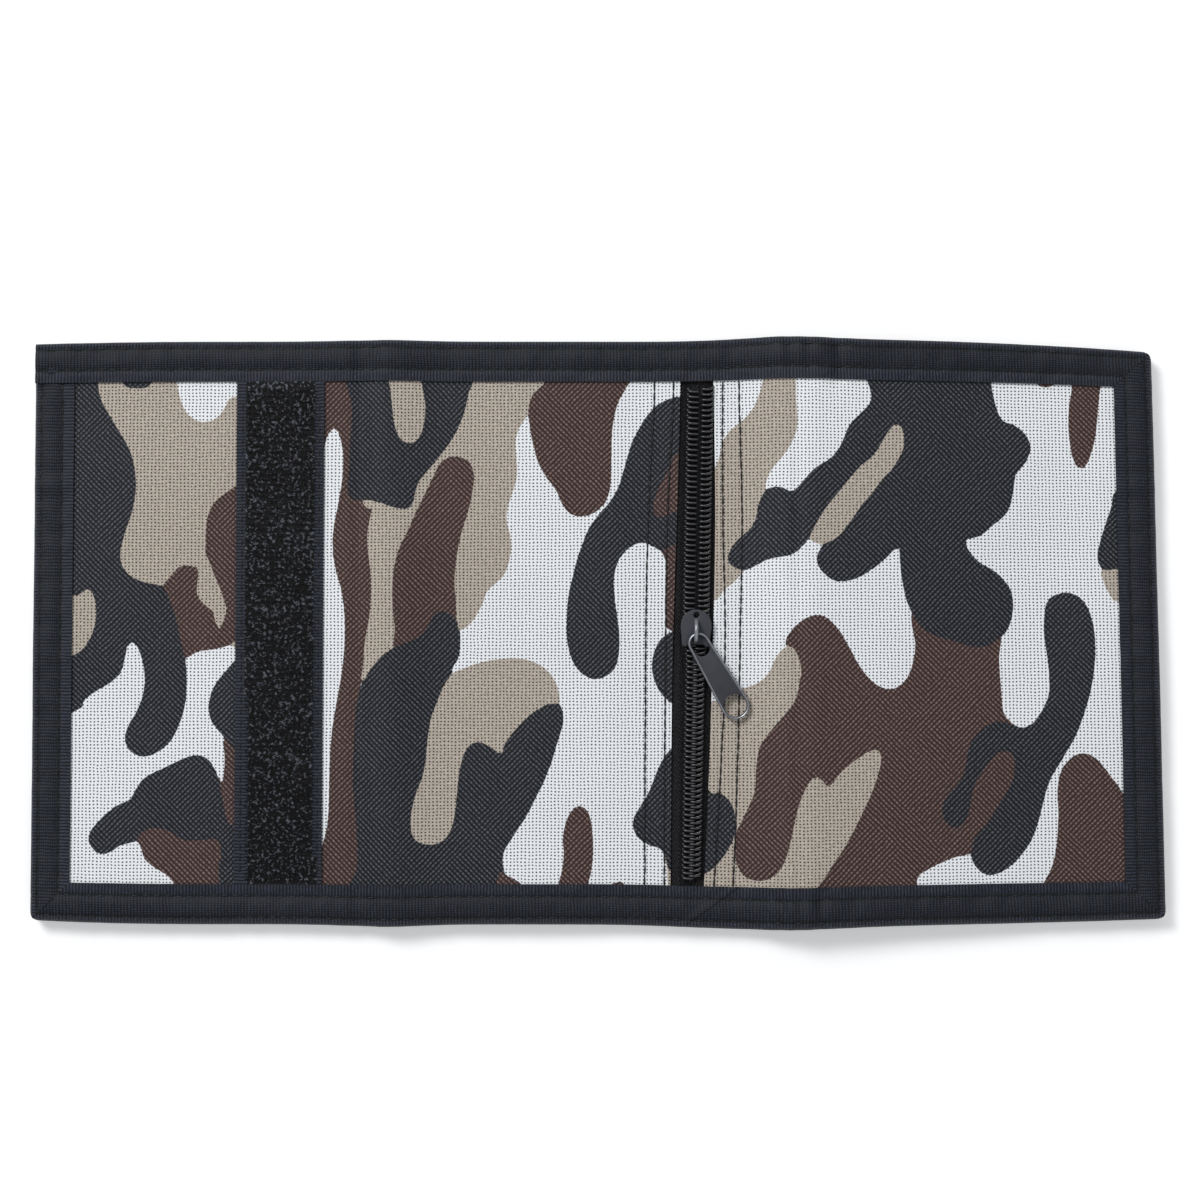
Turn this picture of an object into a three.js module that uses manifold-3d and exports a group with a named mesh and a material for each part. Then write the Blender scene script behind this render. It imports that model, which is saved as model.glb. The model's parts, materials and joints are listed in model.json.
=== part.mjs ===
// Trifold wallet of printed oxford cloth, lying open with its outer face up.
//
// Frame: +X along the open wallet, +Y towards the banknote opening, +Z out of the outer face.
// The origin is the middle of the underside, on the surface that the wallet lies on. Millimetres.
//
// The wallet is three cloth panels joined by two fold lines. Each sheet is a flat plate cut at
// the folds, so that each panel is a rigid body, and plates that are sewn together in the real
// wallet lie LAYER_GAP apart. The left panel folds under the middle one first, and the longer
// right panel then closes over both and is held by its loop tape on the hook tape.

import * as THREE from 'three';
import { mergeVertices } from 'three/addons/utils/BufferGeometryUtils.js';
import Module from 'manifold-3d';

// ---- Driving dimensions -------------------------------------------------------------------

const LENGTH = 245;            // open wallet, end to end
const WIDTH = 126;             // across, bottom edge to banknote edge
const LEFT_FOLD_X = -49.3;     // fold line between the left and the middle panel
const RIGHT_FOLD_X = 40;       // fold line between the middle and the right panel
const FOLD_HALF_GAP = 0.3;     // a plate's edge stops this far from its fold line
const EDGE_GAP = 0.3;          // room between neighbouring edges in the plane of the cloth
const LAYER_GAP = 0.12;        // room between layers

const BINDING_VISIBLE = 8.7;   // width of each folded half of the 19 mm binding tape
const BINDING_WEB = 0.5;       // the tape where it turns round the edge

// Cloth thicknesses
const BINDING_T = 0.4;
const POCKET_T = 0.3;
const DIVIDER_T = 0.38;
const LINING_T = 0.25;
const TAPE_T = 0.28;
const SHELL_T = 0.4;

// Heights of the layers above the surface, each from its lower face
const BINDING_INNER_Z = 0;
const FRONT_POCKET_Z = BINDING_INNER_Z + BINDING_T + LAYER_GAP;
const MIDDLE_POCKET_Z = FRONT_POCKET_Z + POCKET_T + LAYER_GAP;
const REAR_POCKET_Z = MIDDLE_POCKET_Z + POCKET_T + LAYER_GAP;
const DIVIDER_Z = REAR_POCKET_Z + POCKET_T + LAYER_GAP;
const LINING_Z = DIVIDER_Z + DIVIDER_T + LAYER_GAP;
const SLIDER_ROOM = 0.74;      // the slider's lower plate runs between the lining and the tapes
const TAPE_Z = LINING_Z + LINING_T + SLIDER_ROOM;
const SHELL_Z = TAPE_Z + TAPE_T + LAYER_GAP;
const BINDING_OUTER_Z = SHELL_Z + SHELL_T + LAYER_GAP;

// Interior, from the cards and notes that it holds
const DIVIDER_TOP_Y = 50;      // the divider stands lower than the shell, so notes slide in
const EDGING_WIDTH = 5.5;
const CARD_POCKET_TOPS = [36, 22, 8];
const CARD_POCKET_INSET = 0.5;
const SLIP_POCKET = { left: 42, right: 94.2, tops: [30, 14] };
const WINDOW = { left: -112.5, right: -53, top: 44, border: 6, corner: 4 };
const WINDOW_SHEET_T = 0.25;

// Closure tapes
const HOOK_TAPE = { left: -78.3, right: -59.3, thickness: 1.4 };
const LOOP_TAPE = { left: 94.5, right: 113.5, thickness: 1.3 };

// Zip, in its own frame: Y runs along the chain, X across it
const ZIP_X = 21.75;           // chain centre at the wallet's mid height
const ZIP_LEAN = THREE.MathUtils.degToRad(-1.1);
const ZIP_OPENING = { left: -4.4, right: 3.7 };
const ZIP_TAPE_OUTER = 12.3;
const ZIP_ROW = { inner: 0.45, outer: 2.35, height: 1.33 };
const ZIP_TAPE_HALF_LENGTH = 61.2;
const ZIP_ROW_HALF_LENGTH = 54;

// Slider, with its nose towards +Y, where the rows enter it
const SLIDER = { halfWidth: 3.35, tailHalfWidth: 3.05, tailY: -3.15, shoulderY: 0.8, noseY: 1.6 };
const SLIDER_LOWER = { z: 2.65, thickness: 0.5 };
const SLIDER_UPPER = { z: 5.15, thickness: 0.7 };
const SLIDER_FLANGE_INNER = 2.55;
const SLIDER_FLANGE_Z = 3.7;
const SLIDER_POST = { halfWidth: 0.25, from: 2, to: 4.6 };
const SLIDER_WELD = 0.1;       // how far the slider's pieces run into one another
const BAIL = { width: 0.9, frontY: -2.3, rearY: 4, leg: 0.8, clearHeight: 1.6, bar: 0.75, round: 0.7 };

// Pull tab, in its own frame: its length runs along -Y from the bar inside the bail
const PULL_THICKNESS = 1;
const PULL_PIVOT = { y: -0.55, z: 6.75 };
const PULL_SWING = THREE.MathUtils.degToRad(30.5);
const PULL_DROOP = THREE.MathUtils.degToRad(3.6);
const PULL = { eyeHalfWidth: 2.35, endHalfWidth: 3.1, length: 20.6, barBack: 0.5, barFront: 0.5 };
const PULL_EYE = { halfWidth: 1.75, end: 4.9 };
const PULL_HOLE_RADIUS = 2.5;

const COLOUR = {
  camo: 0xa39c90, binding: 0x23252e, lining: 0x2a2b2f, pocket: 0x1d1e22, hook: 0x141417,
  loop: 0x1b1b1f, vinyl: 0xd8dde0, zip: 0x101013, metal: 0x4a4b50,
};

// ---- Shared values ------------------------------------------------------------------------

const HALF_LENGTH = LENGTH / 2;
const HALF_WIDTH = WIDTH / 2;
const BINDING_INNER_EDGE_Y = HALF_WIDTH - BINDING_VISIBLE;
const CLOTH_HALF_LENGTH = HALF_LENGTH - BINDING_WEB - EDGE_GAP;
const CLOTH_HALF_WIDTH = HALF_WIDTH - BINDING_WEB - EDGE_GAP;
const SLIDER_TOP_Z = SLIDER_UPPER.z + SLIDER_UPPER.thickness;

// Stretches of X that belong to the three panels, for cloth and for binding
const CLOTH_SPAN = {
  left: [-CLOTH_HALF_LENGTH, LEFT_FOLD_X - FOLD_HALF_GAP],
  centre: [LEFT_FOLD_X + FOLD_HALF_GAP, RIGHT_FOLD_X - FOLD_HALF_GAP],
  right: [RIGHT_FOLD_X + FOLD_HALF_GAP, CLOTH_HALF_LENGTH],
};
const BINDING_SPAN = {
  left: [-HALF_LENGTH, CLOTH_SPAN.left[1]],
  centre: CLOTH_SPAN.centre,
  right: [CLOTH_SPAN.right[0], HALF_LENGTH],
};

const wasm = await Module();
wasm.setup();
const wallet = new THREE.Group();
wallet.name = 'trifold_wallet';
const zip = new THREE.Group();
zip.position.x = ZIP_X;
zip.rotation.z = ZIP_LEAN;
wallet.add(zip);

// ---- Helpers ------------------------------------------------------------------------------

function material(colour, roughness = 0.85, metalness = 0) {
  return new THREE.MeshStandardMaterial({ color: colour, roughness, metalness });
}

function addPart(name, geometry, colour, group = wallet, roughness = 0.85, metalness = 0) {
  const mesh = new THREE.Mesh(geometry, material(colour, roughness, metalness));
  mesh.name = name;
  group.add(mesh);
  return mesh;
}

function outline(points) {
  return new THREE.Shape(points.map(([x, y]) => new THREE.Vector2(x, y)));
}

function plate(shape, z, thickness) {
  const geometry = new THREE.ExtrudeGeometry(shape, { depth: thickness, bevelEnabled: false, curveSegments: 12 });
  geometry.translate(0, 0, z);
  return geometry;
}

function rectangle([left, right], [low, high], z, thickness) {
  return plate(outline([[left, low], [right, low], [right, high], [left, high]]), z, thickness);
}

// A profile drawn in (across, height), run along X, with "across" laid on Y
function runAlongX(shape, from, to) {
  const geometry = new THREE.ExtrudeGeometry(shape, { depth: to - from, bevelEnabled: false, curveSegments: 12 });
  const basis = new THREE.Matrix4().makeBasis(
    new THREE.Vector3(0, 1, 0), new THREE.Vector3(0, 0, 1), new THREE.Vector3(1, 0, 0));
  geometry.applyMatrix4(basis);
  geometry.translate(from, 0, 0);
  return geometry;
}

// A profile drawn in (across, height), run along Y, with "across" laid on X
function runAlongY(shape, from, to) {
  const geometry = new THREE.ExtrudeGeometry(shape, { depth: to - from, bevelEnabled: false, curveSegments: 12 });
  const basis = new THREE.Matrix4().makeBasis(
    new THREE.Vector3(1, 0, 0), new THREE.Vector3(0, 0, 1), new THREE.Vector3(0, -1, 0));
  geometry.applyMatrix4(basis);
  geometry.translate(0, to, 0);
  return geometry;
}

// The binding tape's folded section: two flat halves and the turn round the cloth's edge.
// side is +1 where the edge faces +, -1 where it faces -.
function bindingSection(edge, side, innerZ, innerThickness) {
  const tongue = edge - side * BINDING_VISIBLE;
  const web = edge - side * BINDING_WEB;
  const top = BINDING_OUTER_Z + BINDING_T;
  return outline([
    [edge, innerZ], [edge, top], [tongue, top], [tongue, BINDING_OUTER_Z],
    [web, BINDING_OUTER_Z], [web, innerZ + innerThickness],
    [tongue, innerZ + innerThickness], [tongue, innerZ],
  ]);
}

function solid(geometry) {
  const bare = geometry.clone();
  bare.deleteAttribute('normal');
  bare.deleteAttribute('uv');
  const merged = mergeVertices(bare, 1e-4);
  return new wasm.Manifold(new wasm.Mesh({
    numProp: 3,
    vertProperties: new Float32Array(merged.attributes.position.array),
    triVerts: new Uint32Array(merged.index.array),
  }));
}

function geometryOf(manifold) {
  const mesh = manifold.getMesh();
  const geometry = new THREE.BufferGeometry();
  geometry.setAttribute('position', new THREE.BufferAttribute(mesh.vertProperties, 3));
  geometry.setIndex(new THREE.BufferAttribute(mesh.triVerts, 1));
  geometry.computeVertexNormals();
  return geometry;
}

// ---- Sheets that cross the folds, cut into one plate for each panel -------------------------

function addShell() {
  const bounds = [-CLOTH_HALF_WIDTH, CLOTH_HALF_WIDTH];
  const leaning = (offset, y) => ZIP_X + offset / Math.cos(ZIP_LEAN) - Math.tan(ZIP_LEAN) * y;
  const zipLeft = (y) => leaning(ZIP_OPENING.left, y);
  const zipRight = (y) => leaning(ZIP_OPENING.right, y);
  const [low, high] = bounds;
  addPart('shell_left', rectangle(CLOTH_SPAN.left, bounds, SHELL_Z, SHELL_T), COLOUR.camo);
  addPart('shell_centre', plate(outline([
    [CLOTH_SPAN.centre[0], low], [zipLeft(low), low], [zipLeft(high), high], [CLOTH_SPAN.centre[0], high],
  ]), SHELL_Z, SHELL_T), COLOUR.camo);
  addPart('shell_zip_side', plate(outline([
    [zipRight(low), low], [CLOTH_SPAN.centre[1], low], [CLOTH_SPAN.centre[1], high], [zipRight(high), high],
  ]), SHELL_Z, SHELL_T), COLOUR.camo);
  addPart('shell_right', rectangle(CLOTH_SPAN.right, bounds, SHELL_Z, SHELL_T), COLOUR.camo);
}

function addInnerSheets() {
  const full = [-CLOTH_HALF_WIDTH, CLOTH_HALF_WIDTH];
  const divider = [-CLOTH_HALF_WIDTH, DIVIDER_TOP_Y];
  const edging = [DIVIDER_TOP_Y - EDGING_WIDTH, DIVIDER_TOP_Y];
  for (const [panel, span] of Object.entries(CLOTH_SPAN)) {
    addPart(`coin_lining_${panel}`, rectangle(span, full, LINING_Z, LINING_T), COLOUR.lining);
    addPart(`note_divider_${panel}`, rectangle(span, divider, DIVIDER_Z, DIVIDER_T), COLOUR.pocket);
    addPart(`divider_edging_${panel}`, rectangle(span, edging, REAR_POCKET_Z, POCKET_T), COLOUR.binding);
  }
}

function addBindings() {
  for (const [panel, [from, to]] of Object.entries(BINDING_SPAN)) {
    const top = bindingSection(HALF_WIDTH, 1, DIVIDER_Z, DIVIDER_T);
    const bottom = bindingSection(-HALF_WIDTH, -1, BINDING_INNER_Z, BINDING_T);
    addPart(`binding_top_${panel}`, runAlongX(top, from, to), COLOUR.binding);
    addPart(`binding_bottom_${panel}`, runAlongX(bottom, from, to), COLOUR.binding);
  }
  const reach = BINDING_INNER_EDGE_Y - EDGE_GAP;
  for (const [panel, side] of [['left', -1], ['right', 1]]) {
    const section = bindingSection(side * HALF_LENGTH, side, BINDING_INNER_Z, BINDING_T);
    addPart(`binding_end_${panel}`, runAlongY(section, -reach, reach), COLOUR.binding);
  }
}

// ---- Pieces of one panel --------------------------------------------------------------------

// A row of stepped pockets, rear one first, each with a strip of edging on its mouth
function addPockets(prefix, names, span, tops, heights) {
  names.forEach((name, i) => {
    const mouth = [tops[i] - EDGING_WIDTH, tops[i]];
    const body = rectangle(span, [-CLOTH_HALF_WIDTH, tops[i]], heights[i], POCKET_T);
    const strip = rectangle(span, mouth, heights[i] - LAYER_GAP - POCKET_T, POCKET_T);
    addPart(`${prefix}_${name}`, body, COLOUR.pocket);
    addPart(`${prefix}_edging_${name}`, strip, COLOUR.binding);
  });
}

function addCardPockets() {
  const span = [CLOTH_SPAN.centre[0] + CARD_POCKET_INSET, CLOTH_SPAN.centre[1] - CARD_POCKET_INSET];
  const heights = [REAR_POCKET_Z, MIDDLE_POCKET_Z, FRONT_POCKET_Z];
  addPockets('card_pocket', ['rear', 'middle', 'front'], span, CARD_POCKET_TOPS, heights);
}

function addSlipPockets() {
  const span = [SLIP_POCKET.left, SLIP_POCKET.right];
  addPockets('slip_pocket', ['rear', 'front'], span, SLIP_POCKET.tops, [REAR_POCKET_Z, MIDDLE_POCKET_Z]);
}

function addIdWindow() {
  const { left, right, top, border, corner } = WINDOW;
  const sheetZ = REAR_POCKET_Z + POCKET_T - WINDOW_SHEET_T - LAYER_GAP;
  const frameZ = sheetZ - LAYER_GAP - DIVIDER_T;
  const low = -CLOTH_HALF_WIDTH;
  const view = { left: left + border, right: right - border, low: -BINDING_INNER_EDGE_Y + border, high: top - border };
  const frame = outline([[left, low], [right, low], [right, top], [left, top]]);
  const hole = new THREE.Path();
  hole.moveTo(view.left + corner, view.low);
  hole.lineTo(view.right - corner, view.low);
  hole.absarc(view.right - corner, view.low + corner, corner, -Math.PI / 2, 0);
  hole.absarc(view.right - corner, view.high - corner, corner, 0, Math.PI / 2);
  hole.absarc(view.left + corner, view.high - corner, corner, Math.PI / 2, Math.PI);
  hole.absarc(view.left + corner, view.low + corner, corner, Math.PI, Math.PI * 1.5);
  frame.holes.push(hole);
  addPart('id_window_frame', plate(frame, frameZ, DIVIDER_T), COLOUR.pocket);
  addPart('id_window', rectangle([left, right], [low, top], sheetZ, WINDOW_SHEET_T), COLOUR.vinyl, wallet, 0.15);
}

function addClosureTapes() {
  const reach = BINDING_INNER_EDGE_Y - EDGE_GAP;
  const loopZ = DIVIDER_Z - LAYER_GAP - LOOP_TAPE.thickness;
  addPart('hook_tape', rectangle([HOOK_TAPE.left, HOOK_TAPE.right], [-reach, reach],
    BINDING_OUTER_Z, HOOK_TAPE.thickness), COLOUR.hook);
  addPart('loop_tape', rectangle([LOOP_TAPE.left, LOOP_TAPE.right], [-reach, DIVIDER_TOP_Y - EDGING_WIDTH - EDGE_GAP],
    loopZ, LOOP_TAPE.thickness), COLOUR.loop);
}

// ---- Zip ------------------------------------------------------------------------------------

function addZipTapesAndRows() {
  for (const [name, side] of [['left', -1], ['right', 1]]) {
    const tape = [side * ZIP_ROW.inner, side * ZIP_TAPE_OUTER].sort((a, b) => a - b);
    const row = [side * ZIP_ROW.inner, side * ZIP_ROW.outer].sort((a, b) => a - b);
    addPart(`zip_tape_${name}`, rectangle(tape, [-ZIP_TAPE_HALF_LENGTH, ZIP_TAPE_HALF_LENGTH], TAPE_Z, TAPE_T),
      COLOUR.zip, zip);
    addPart(`zip_row_${name}`, rectangle(row, [-ZIP_ROW_HALF_LENGTH, ZIP_ROW_HALF_LENGTH], SHELL_Z, ZIP_ROW.height),
      COLOUR.zip, zip, 0.5);
  }
}

function sliderPlate(z, thickness) {
  const { halfWidth, tailHalfWidth, tailY, shoulderY, noseY } = SLIDER;
  const shape = new THREE.Shape();
  shape.moveTo(-tailHalfWidth, tailY);
  shape.lineTo(tailHalfWidth, tailY);
  shape.lineTo(halfWidth, shoulderY);
  shape.lineTo(halfWidth, noseY);
  shape.absarc(0, noseY, halfWidth, 0, Math.PI);
  shape.lineTo(-halfWidth, shoulderY);
  return plate(shape, z, thickness);
}

function sliderFlange(side) {
  const { halfWidth, tailHalfWidth, tailY, shoulderY } = SLIDER;
  const corners = [
    [side * SLIDER_FLANGE_INNER, tailY], [side * tailHalfWidth, tailY],
    [side * halfWidth, shoulderY], [side * SLIDER_FLANGE_INNER, shoulderY],
  ];
  return plate(outline(side > 0 ? corners : corners.reverse()), SLIDER_FLANGE_Z, SLIDER_TOP_Z - SLIDER_FLANGE_Z - SLIDER_WELD);
}

// A bridge along the slider: the pull's bar turns under it, behind its front leg
function bail() {
  const { width, frontY, rearY, leg, clearHeight, bar, round } = BAIL;
  const footZ = SLIDER_TOP_Z - SLIDER_WELD;
  const crown = SLIDER_TOP_Z + clearHeight + bar;
  const shape = new THREE.Shape();
  shape.moveTo(frontY, footZ);
  shape.lineTo(frontY, crown - round);
  shape.quadraticCurveTo(frontY, crown, frontY + round, crown);
  shape.lineTo(rearY - 3 * round, crown);
  shape.quadraticCurveTo(rearY, crown, rearY, footZ);
  shape.lineTo(rearY - leg, footZ);
  shape.quadraticCurveTo(rearY - leg, crown - bar, rearY - leg - 2 * round, crown - bar);
  shape.lineTo(frontY + leg, crown - bar);
  shape.lineTo(frontY + leg, footZ);
  return runAlongX(shape, -width / 2, width / 2);
}

function addSlider() {
  const post = rectangle([-SLIDER_POST.halfWidth, SLIDER_POST.halfWidth], [SLIDER_POST.from, SLIDER_POST.to],
    SLIDER_LOWER.z + SLIDER_WELD, SLIDER_UPPER.z - SLIDER_LOWER.z);
  const pieces = [
    sliderPlate(SLIDER_LOWER.z, SLIDER_LOWER.thickness), sliderPlate(SLIDER_UPPER.z, SLIDER_UPPER.thickness),
    sliderFlange(-1), sliderFlange(1), post, bail(),
  ];
  const joined = pieces.map(solid).reduce((whole, piece) => whole.add(piece));
  addPart('zip_slider', geometryOf(joined), COLOUR.metal, zip, 0.4, 0.7);
}

function addPull() {
  const { eyeHalfWidth, endHalfWidth, length, barBack, barFront } = PULL;
  const endCentre = -(length - endHalfWidth);
  const shape = new THREE.Shape();
  shape.moveTo(-eyeHalfWidth + barBack, barBack);
  shape.quadraticCurveTo(-eyeHalfWidth, barBack, -eyeHalfWidth, barBack - eyeHalfWidth / 2);
  shape.lineTo(-endHalfWidth, endCentre);
  shape.absarc(0, endCentre, endHalfWidth, Math.PI, 2 * Math.PI);
  shape.lineTo(eyeHalfWidth, barBack - eyeHalfWidth / 2);
  shape.quadraticCurveTo(eyeHalfWidth, barBack, eyeHalfWidth - barBack, barBack);
  const eye = new THREE.Path();
  eye.moveTo(-PULL_EYE.halfWidth, -barFront);
  eye.lineTo(PULL_EYE.halfWidth, -barFront);
  eye.lineTo(PULL_EYE.halfWidth, -PULL_EYE.end + PULL_EYE.halfWidth);
  eye.absarc(0, -PULL_EYE.end + PULL_EYE.halfWidth, PULL_EYE.halfWidth, 0, -Math.PI, true);
  const hole = new THREE.Path();
  hole.absarc(0, endCentre, PULL_HOLE_RADIUS, 0, 2 * Math.PI);
  shape.holes.push(eye, hole);
  const mesh = addPart('zip_pull', plate(shape, -PULL_THICKNESS / 2, PULL_THICKNESS), COLOUR.metal, zip, 0.4, 0.7);
  mesh.rotation.order = 'ZXY';
  mesh.rotation.z = PULL_SWING - ZIP_LEAN;
  mesh.rotation.x = PULL_DROOP;
  mesh.position.set(0, PULL_PIVOT.y, PULL_PIVOT.z);
}

addShell();
addInnerSheets();
addBindings();
addCardPockets();
addSlipPockets();
addIdWindow();
addClosureTapes();
addZipTapesAndRows();
addSlider();
addPull();

export default wallet;
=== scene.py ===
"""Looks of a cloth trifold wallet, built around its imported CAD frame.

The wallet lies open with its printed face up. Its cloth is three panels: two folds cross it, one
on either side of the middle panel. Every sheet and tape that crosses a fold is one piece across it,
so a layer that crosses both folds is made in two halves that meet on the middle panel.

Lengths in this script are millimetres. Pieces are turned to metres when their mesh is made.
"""

import json
import math

import bmesh
import bpy
import numpy as np
from bpy.props import FloatProperty, FloatVectorProperty, IntProperty, PointerProperty
from bpy.types import Operator, Panel, PropertyGroup
from mathutils import Matrix, Vector, noise


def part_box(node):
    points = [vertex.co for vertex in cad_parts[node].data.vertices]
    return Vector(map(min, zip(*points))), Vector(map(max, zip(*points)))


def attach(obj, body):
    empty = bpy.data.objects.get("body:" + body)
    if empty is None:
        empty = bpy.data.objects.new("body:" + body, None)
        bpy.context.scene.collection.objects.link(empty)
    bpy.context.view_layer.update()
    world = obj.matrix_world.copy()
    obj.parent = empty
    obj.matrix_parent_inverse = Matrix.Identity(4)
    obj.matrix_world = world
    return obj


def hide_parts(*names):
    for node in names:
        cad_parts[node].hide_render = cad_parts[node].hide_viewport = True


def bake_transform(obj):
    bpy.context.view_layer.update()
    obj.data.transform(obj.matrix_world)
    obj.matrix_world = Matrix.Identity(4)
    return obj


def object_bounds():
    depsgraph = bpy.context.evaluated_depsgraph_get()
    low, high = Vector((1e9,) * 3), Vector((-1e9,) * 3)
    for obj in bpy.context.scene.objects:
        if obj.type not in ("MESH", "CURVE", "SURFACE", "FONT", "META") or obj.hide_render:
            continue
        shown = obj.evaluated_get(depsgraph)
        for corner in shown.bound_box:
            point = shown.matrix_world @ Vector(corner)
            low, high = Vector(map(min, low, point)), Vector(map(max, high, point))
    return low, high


bl_info = {
    "name": "Trifold wallet",
    "version": (1, 0, 0),
    "blender": (4, 5, 0),
    "location": "View3D > Sidebar > Wallet",
    "description": "Builds the cloth, tapes, zip and stitching of a trifold wallet around its frame",
    "category": "Add Mesh",
}

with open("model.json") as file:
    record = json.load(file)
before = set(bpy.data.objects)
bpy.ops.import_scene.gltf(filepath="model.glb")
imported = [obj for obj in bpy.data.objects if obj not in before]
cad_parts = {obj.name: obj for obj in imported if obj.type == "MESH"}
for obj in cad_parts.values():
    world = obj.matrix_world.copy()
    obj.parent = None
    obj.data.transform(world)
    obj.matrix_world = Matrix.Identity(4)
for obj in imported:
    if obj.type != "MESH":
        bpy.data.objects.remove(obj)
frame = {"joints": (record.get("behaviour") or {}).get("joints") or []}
CAD_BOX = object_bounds()

MM = 1000.0


# ---- Measures taken from the frame ------------------------------------------------------------

def extent(node):
    """A CAD node's lowest and highest corner."""
    low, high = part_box(node)
    return low * MM, high * MM


def joint_value(name, key):
    """A vector that belongs to one of the frame's joints, as it is stored."""
    return Vector(next(joint[key] for joint in frame["joints"] if joint["name"] == name))


HALF_LENGTH = CAD_BOX[1].x * MM
HALF_WIDTH = CAD_BOX[1].y * MM
CLOTH_LOW, CLOTH_HIGH = extent("shell_left")[0], extent("shell_right")[1]
CLOTH_TOP = CLOTH_HIGH.z
BINDING_WIDTH = extent("binding_end_left")[1].x + HALF_LENGTH
INNER_X, INNER_Y = HALF_LENGTH - BINDING_WIDTH, HALF_WIDTH - BINDING_WIDTH

RIGHT_FOLD = joint_value("right_fold", "pos_m").x * MM
LEFT_REACH, RIGHT_REACH = 6.5, 8.0   # the width of each fold's bend zone on either side of it; the zip tape stops short of the right one
RIGHT_BEND = (RIGHT_FOLD - RIGHT_REACH, RIGHT_FOLD + RIGHT_REACH)
HALVES_MEET = -5.0                # where the halves of a full-length layer meet

ZIP_AXIS = joint_value("slider_run", "axis")
ZIP_SLOPE = ZIP_AXIS.x / ZIP_AXIS.y
PULL_PIVOT = joint_value("pull_flip", "pos_m") * MM
ZIP_X = PULL_PIVOT.x - PULL_PIVOT.y * ZIP_SLOPE
ZIP_LEFT_EDGE = extent("shell_centre")[1].x - ZIP_X - ZIP_SLOPE * CLOTH_HIGH.y
ZIP_RIGHT_EDGE = extent("shell_zip_side")[0].x - ZIP_X - ZIP_SLOPE * CLOTH_LOW.y


# ---- How the cloth lies ------------------------------------------------------------------------

# Ridges of the cloth, each as where it is along the wallet, how wide and how high
RIDGES = ((-45.0, 7.0, 1.5), (-51.2, 1.9, -0.8), (43.6, 1.3, -0.3), (47.5, 2.6, 0.25))
TENT = {"foot": 31.0, "peak": 43.0, "end": 104.0, "height": 3.4}
RUMPLE = {"length": 34.0, "height": 0.5}
# Creases in the binding at the folds, each as where it is along the wallet and on which long edge
PINCHES = ((42.0, 1), (46.2, 1), (53.0, 1), (40.0, -1), (48.2, -1), (-48.5, 1), (-48.5, -1))
PINCH = {"depth": 0.7, "spread": 1.3, "from": 50.0, "over": 8.0}
ZIP_FLAT = (12.0, 21.0)           # the cloth lies flat this near the zip, and is free this far off

# How far the long edges bulge past the cut size: where, how wide and how much
TOP_BULGES = ((-47.0, 13.0, 0.3), (41.0, 15.0, 0.85), (60.0, 30.0, 0.2))
BOTTOM_BULGES = ((-46.0, 12.0, 0.45), (36.0, 22.0, 1.1))
TOP_SPREAD, BOTTOM_SPREAD = 0.2, 0.65
TAPER = {"from": 62.0, "over": 60.0, "top": 2.3, "bottom": 1.2}
LEFT_TAPER = {"from": -84.0, "over": 38.0, "top": 0.6, "bottom": 0.9}
LEAN_LEFT, LEAN_RIGHT = 0.0045 / 60, 0.0155 / 60
CORNER_RADIUS = 2.3


def clamp(value, low=0.0, high=1.0):
    return max(low, min(high, value))


def ease(value):
    """0 below 0, 1 above 1, and a smooth rise between."""
    t = clamp(value)
    return t * t * (3 - 2 * t)


def bell(x, centre, spread):
    return math.exp(-(((x - centre) / spread) ** 2))


def lerp(a, b, t):
    return a + (b - a) * t


def lift(x, y):
    """How far the cloth stands off the surface that it lies on."""
    tent = ease((x - TENT["foot"]) / (TENT["peak"] - TENT["foot"]))
    tent *= 1 - ease((x - TENT["peak"]) / (TENT["end"] - TENT["peak"]))
    free = ease((abs(x - ZIP_X) - ZIP_FLAT[0]) / (ZIP_FLAT[1] - ZIP_FLAT[0]))
    rumple = 0.6 + noise.noise(Vector((x, y, 3.0)) / RUMPLE["length"])
    rumple += 0.35 * noise.noise(Vector((x, y, 40.0)) / (RUMPLE["length"] * 0.37))
    ridges = sum(height * bell(x, centre, spread) for centre, spread, height in RIDGES)
    for centre, side in PINCHES:
        near_edge = ease((side * y - PINCH["from"]) / PINCH["over"])
        ridges -= PINCH["depth"] * bell(x, centre, PINCH["spread"]) * near_edge
    return TENT["height"] * tent + RUMPLE["height"] * rumple * free + ridges


def edge_bulge(x, side):
    """How far the top or the bottom edge lies past its cut size."""
    if side > 0:
        bulges, spread, key = TOP_BULGES, TOP_SPREAD, "top"
    else:
        bulges, spread, key = BOTTOM_BULGES, BOTTOM_SPREAD, "bottom"
    right = max(0.0, (x - TAPER["from"]) / TAPER["over"])
    left = max(0.0, (LEFT_TAPER["from"] - x) / LEFT_TAPER["over"])
    out = spread + sum(much * bell(x, centre, wide) for centre, wide, much in bulges)
    return out - TAPER[key] * right ** 2 - LEFT_TAPER[key] * left ** 2


def settle(point):
    """Moves a point of the flat wallet to where it lies."""
    x, y, z = point
    over_x, over_y = abs(x) - HALF_LENGTH + CORNER_RADIUS, abs(y) - HALF_WIDTH + CORNER_RADIUS
    if over_x > 0 and over_y > 0 and not (x < 0 < y):
        reach = math.hypot(over_x, over_y)
        pull = min(1.0, CORNER_RADIUS / reach)
        x -= math.copysign(over_x * (1 - pull), x)
        y -= math.copysign(over_y * (1 - pull), y)
    side = 1 if y > 0 else -1
    lean = LEAN_RIGHT if x > ZIP_X else LEAN_LEFT
    moved_y = y + side * edge_bulge(x, side) * (abs(y) / HALF_WIDTH) ** 3
    return Vector((x - y * (x - ZIP_X) * lean, moved_y, z + lift(x, y)))


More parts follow.
